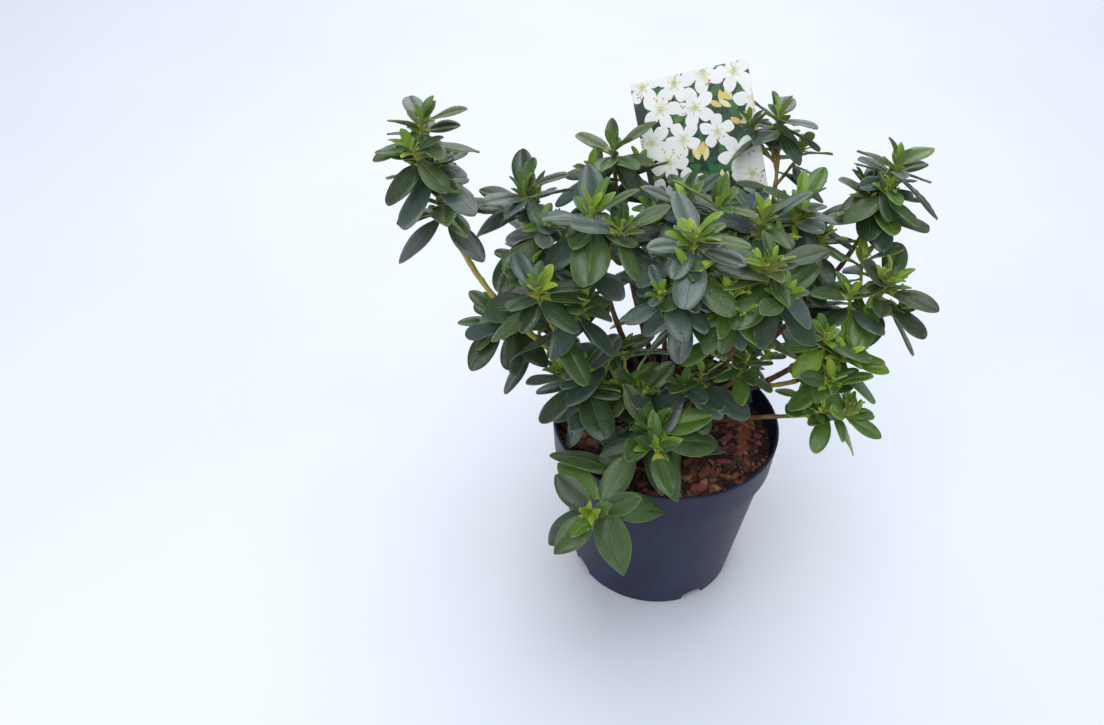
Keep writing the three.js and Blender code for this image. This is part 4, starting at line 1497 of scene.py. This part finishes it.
def makeCard(place):
    foot, right, rise, face, length = place
    low, middle = length - tag["height"], length - tag["height"] / 2
    half, corner, thick = tag["width"] / 2, tag["corner"], tag["thick"]
    outline = (arc(half - corner, length - corner, corner, 0, 90, 8)
               + arc(corner - half, length - corner, corner, 90, 180, 8)
               + arc(corner - half, low + corner, corner, 180, 270, 8)
               + arc(half - corner, low + corner, corner, 270, 360, 8))
    inward, deep = tag["bevel"]
    rings = []
    for inset, depth in ((inward, 0), (0, deep), (0, thick - deep), (inward, thick)):
        scaleX, scaleY = 1 - inset / half, 1 - inset / (tag["height"] / 2)
        rings.append([foot + right * x * scaleX + rise * (middle + (y - middle) * scaleY) + face * depth
                      for x, y in outline])
    centre = foot + rise * middle
    card = newPile()
    addLoft(card, rings, [centre, centre + face * thick], 0)
    white = plasticMaterial("polypropylene_card_white", "#e9ebee", "#e3e6ea", 0.3)
    makePiece("tag_card", card, [white], ["plant_tag"], 40)


def printBuds(picture, place, dice, x, y, layer):  # a cluster of closed buds
    for b in range(blossoms["buds"]):
        turn = dice.uniform(*blossoms["budTurn"])
        bx, by = x + dice.uniform(*blossoms["budAside"]), y + dice.uniform(*blossoms["budRise"])
        outline = leafOutline(bx, by, turn, *blossoms["budSize"])
        printShape(picture, place, outline, dice.choice((7, 8)), layer + b)


def printBlossom(picture, place, dice, x, y, layer):  # petals, a throat and stamens
    size = dice.uniform(*blossoms["size"])
    start = dice.uniform(0, 6.28)
    petals, half = blossoms["petals"], blossoms["filament"]
    turns = [start + 2 * math.pi * p / petals for p in range(petals)]
    for p, turn in enumerate(turns):
        outline = petalOutline(x, y, turn, size, size * blossoms["petalWidth"], dice.uniform(0, 6))
        printShape(picture, place, outline, 4 if p % 2 else 5, layer + p)
    long, wide = blossoms["throat"]
    for turn in turns:
        printShape(picture, place, leafOutline(x, y, turn, size * long, size * wide), 6, layer + petals)
    for _ in range(blossoms["stamens"]):
        turn = start + dice.uniform(-blossoms["stamenTurn"], blossoms["stamenTurn"])
        reach = dice.uniform(*blossoms["stamenReach"]) * size
        ex, ey = x + reach * math.cos(turn), y + reach * math.sin(turn)
        filament = [(x - half, y), (x + half, y), (ex + half, ey), (ex - half, ey)]
        anther = leafOutline(ex - 0.6, ey, 0.3, *blossoms["anther"])
        printShape(picture, place, filament, 8, layer + petals + 1)
        printShape(picture, place, anther, 9, layer + petals + 2)


def makePrint(place):
    length = place[4]
    low, half = length - tag["height"], tag["width"] / 2
    picture = newPile()
    dice = random.Random(31)
    printShape(picture, place, [(-half, low), (half, low), (half, length), (-half, length)], 0, 1)
    for _ in range(blossoms["leaves"]):  # foliage behind the blossoms
        x, y = dice.uniform(-half, half), dice.uniform(low + tag["bandHeight"], length)
        turn = dice.uniform(0, 6.28)
        long, wide = dice.uniform(*blossoms["leafLong"]), dice.uniform(*blossoms["leafWide"])
        ink = dice.choice((1, 1, 2, 2, 3))
        printShape(picture, place, leafOutline(x, y, turn, long, wide), ink, dice.uniform(2, 7))
    columns, step, shift = blossoms["columns"], blossoms["step"], blossoms["shift"]
    for i in range(columns):
        for j in range(blossoms["rows"]):
            x = (i - (columns - 1) / 2 + (0.5 if j % 2 else 0)) * step + dice.uniform(-shift, shift)
            y = length - blossoms["firstRow"] - j * step * blossoms["rowStep"] + dice.uniform(-shift, shift)
            layer = blossoms["layers"] * (1 + (i + 2 * j) % 4)  # neighbours never share their layers
            put = printBuds if dice.random() < blossoms["budShare"] else printBlossom
            put(picture, place, dice, x, y, layer)
    inks = [
        inkMaterial("print_ground_green", "#12301f", "#1a3a25"),
        inkMaterial("print_leaf_deep", "#1e4a2c", "#265434"),
        inkMaterial("print_leaf_green", "#2f6637", "#3a7040"),
        inkMaterial("print_leaf_olive", "#5c7a3c", "#678445"),
        inkMaterial("print_petal_white", "#fdfefe", "#fafbfc"),
        inkMaterial("print_petal_shade", "#f8faf9", "#f3f6f4"),
        inkMaterial("print_throat", "#dfe5b4", "#e8ecc8"),
        inkMaterial("print_bud_cream", "#ece3a6", "#f3ecc0"),
        inkMaterial("print_bud_yellow", "#e0c66e", "#e8d489"),
        inkMaterial("print_anther", "#a8742f", "#b98340"),
    ]
    makePiece("tag_print", picture, inks, (), 30)


def makeBand(place):
    low, half = place[4] - tag["height"], tag["width"] / 2
    corner, side = tag["corner"], half - tag["margin"]
    strip = []
    for t in np.arange(24, -1, -1) / 24:
        y = low + tag["bandHeight"] + tag["bandRise"] * math.sin(math.pi * t)
        strip.append((blend(-side, side, t), y))
    outline = [(half - corner, low + 0.4), (side, low + corner), *strip, (-side, low + corner),
               (corner - half, low + 0.4)]
    band = newPile()
    addFlat(band, place, outline, (0, low + 12), 0, tag["bandLayer"])
    makePiece("tag_band", band, [inkMaterial("print_band_lavender", "#aab4d8", "#b4bddd")], (), 30)


def makeStake(place):
    foot, right, rise, face, length = place
    half, tall = tag["stake"] / 2, length - tag["height"] + tag["overlap"]
    outline = [(-half, 0), (-half + 0.5, -0.5), (-1, -0.5), (-0.5, -1.0), (0.5, -1.0), (1, -0.5),
               (half - 0.5, -0.5), (half, 0), (half, 0.3), (-half, 0.3)]  # flat, with a rib along its back
    outline = [(x, y * tag["stakeThick"] / 1.3 - 0.25) for x, y in outline]
    rings = []
    for y in [*np.linspace(-0.5, tall - 1, 24), tall]:
        narrow = 0.6 if y > tall - 0.5 else 1
        rings.append([foot + right * x * narrow + rise * y + face * d for x, d in outline])
    pile = newPile()
    addLoft(pile, rings, np.array([rings[0], rings[-1]]).mean(axis=1), 0, inward=True)
    green = plasticMaterial("polypropylene_stake_green", "#1f6a57", "#267362", 0.35)
    makePiece("tag_stake", pile, [green], (), 35)


place = tagFrame()
makeCard(place)
makePrint(place)
makeBand(place)
makeStake(place)
print("stage tag done")


# Studio

studio = {
    "floor": ("#e0e5ee", "#dde2ec"),
    "floorSize": 40,  # metres
    "sky": "#e6edfb",
    "skyStrength": 0.5,
    "aim": (0, 0, 0.2),
}
lamps = {  # metres and watts
    "key": {"place": (-0.4, -1.2, 1.6), "size": 1.8, "power": 22, "colour": "#fbf9f6"},
    "rim": {"place": (0.1, 2.1, 1.75), "size": 2.6, "power": 39, "colour": "#f8f5f0"},
    "top": {"place": (0.0, 0.15, 2.1), "size": 1.3, "power": 17, "colour": "#eef2fc"},
}
camera = {
    "lens": 30.89,  # mm on a 36 mm sensor
    "place": (-0.0763, -0.4730, 0.5450),  # metres
    "pitch": 0.673,  # radians below the horizon
    "roll": 0.0216,
}


def floorMaterial():
    # Matt white laminate board, pressed smooth: an even pale ground with soft shade and no mirror image.
    material, tree, shader, where = newMaterial("matt_white_board", {"IOR": 1.45, "Roughness": 0.6})
    tree.links.new(patched(tree, where, 400, *studio["floor"], 2), shader.inputs["Base Color"])
    return material


def makeFloor():
    size = studio["floorSize"] / 2
    mesh = bpy.data.meshes.new("floor")
    corners = [(-size, -size, 0), (size, -size, 0), (size, size, 0), (-size, size, 0)]
    mesh.from_pydata(corners, [], [(0, 1, 2, 3)])
    mesh.materials.append(floorMaterial())
    floor = bpy.data.objects.new("floor", mesh)
    bpy.context.scene.collection.objects.link(floor)


def makeLight():
    world = bpy.data.worlds.new("studio")
    world.use_nodes = True
    back = world.node_tree.nodes["Background"]
    back.inputs["Color"].default_value = linear(studio["sky"])
    back.inputs["Strength"].default_value = studio["skyStrength"]
    bpy.context.scene.world = world
    for name, values in lamps.items():
        light = bpy.data.lights.new(name, "AREA")
        light.size = values["size"]
        light.energy = values["power"]
        light.color = linear(values["colour"])[:3]
        lamp = bpy.data.objects.new(name, light)
        lamp.location = values["place"]
        aim = Vector(studio["aim"]) - Vector(lamp.location)
        lamp.rotation_euler = aim.to_track_quat("-Z", "Y").to_euler()
        bpy.context.scene.collection.objects.link(lamp)


def makeCamera():
    lens = bpy.data.cameras.new("camera")
    lens.lens = camera["lens"]
    lens.sensor_width = 36
    eye = bpy.data.objects.new("camera", lens)
    pitch, roll = camera["pitch"], camera["roll"]
    ahead = Vector((0, math.cos(pitch), -math.sin(pitch)))
    right = Vector((1, 0, 0))
    top = right.cross(ahead)
    across = math.cos(roll) * right + math.sin(roll) * top
    upward = -math.sin(roll) * right + math.cos(roll) * top
    facing = Matrix((across, upward, -ahead)).transposed().to_4x4()
    eye.matrix_world = Matrix.Translation(camera["place"]) @ facing
    bpy.context.scene.collection.objects.link(eye)
    bpy.context.scene.camera = eye
    bpy.context.scene.view_settings.view_transform = "Standard"


makeFloor()
makeLight()
makeCamera()
print("stage done")
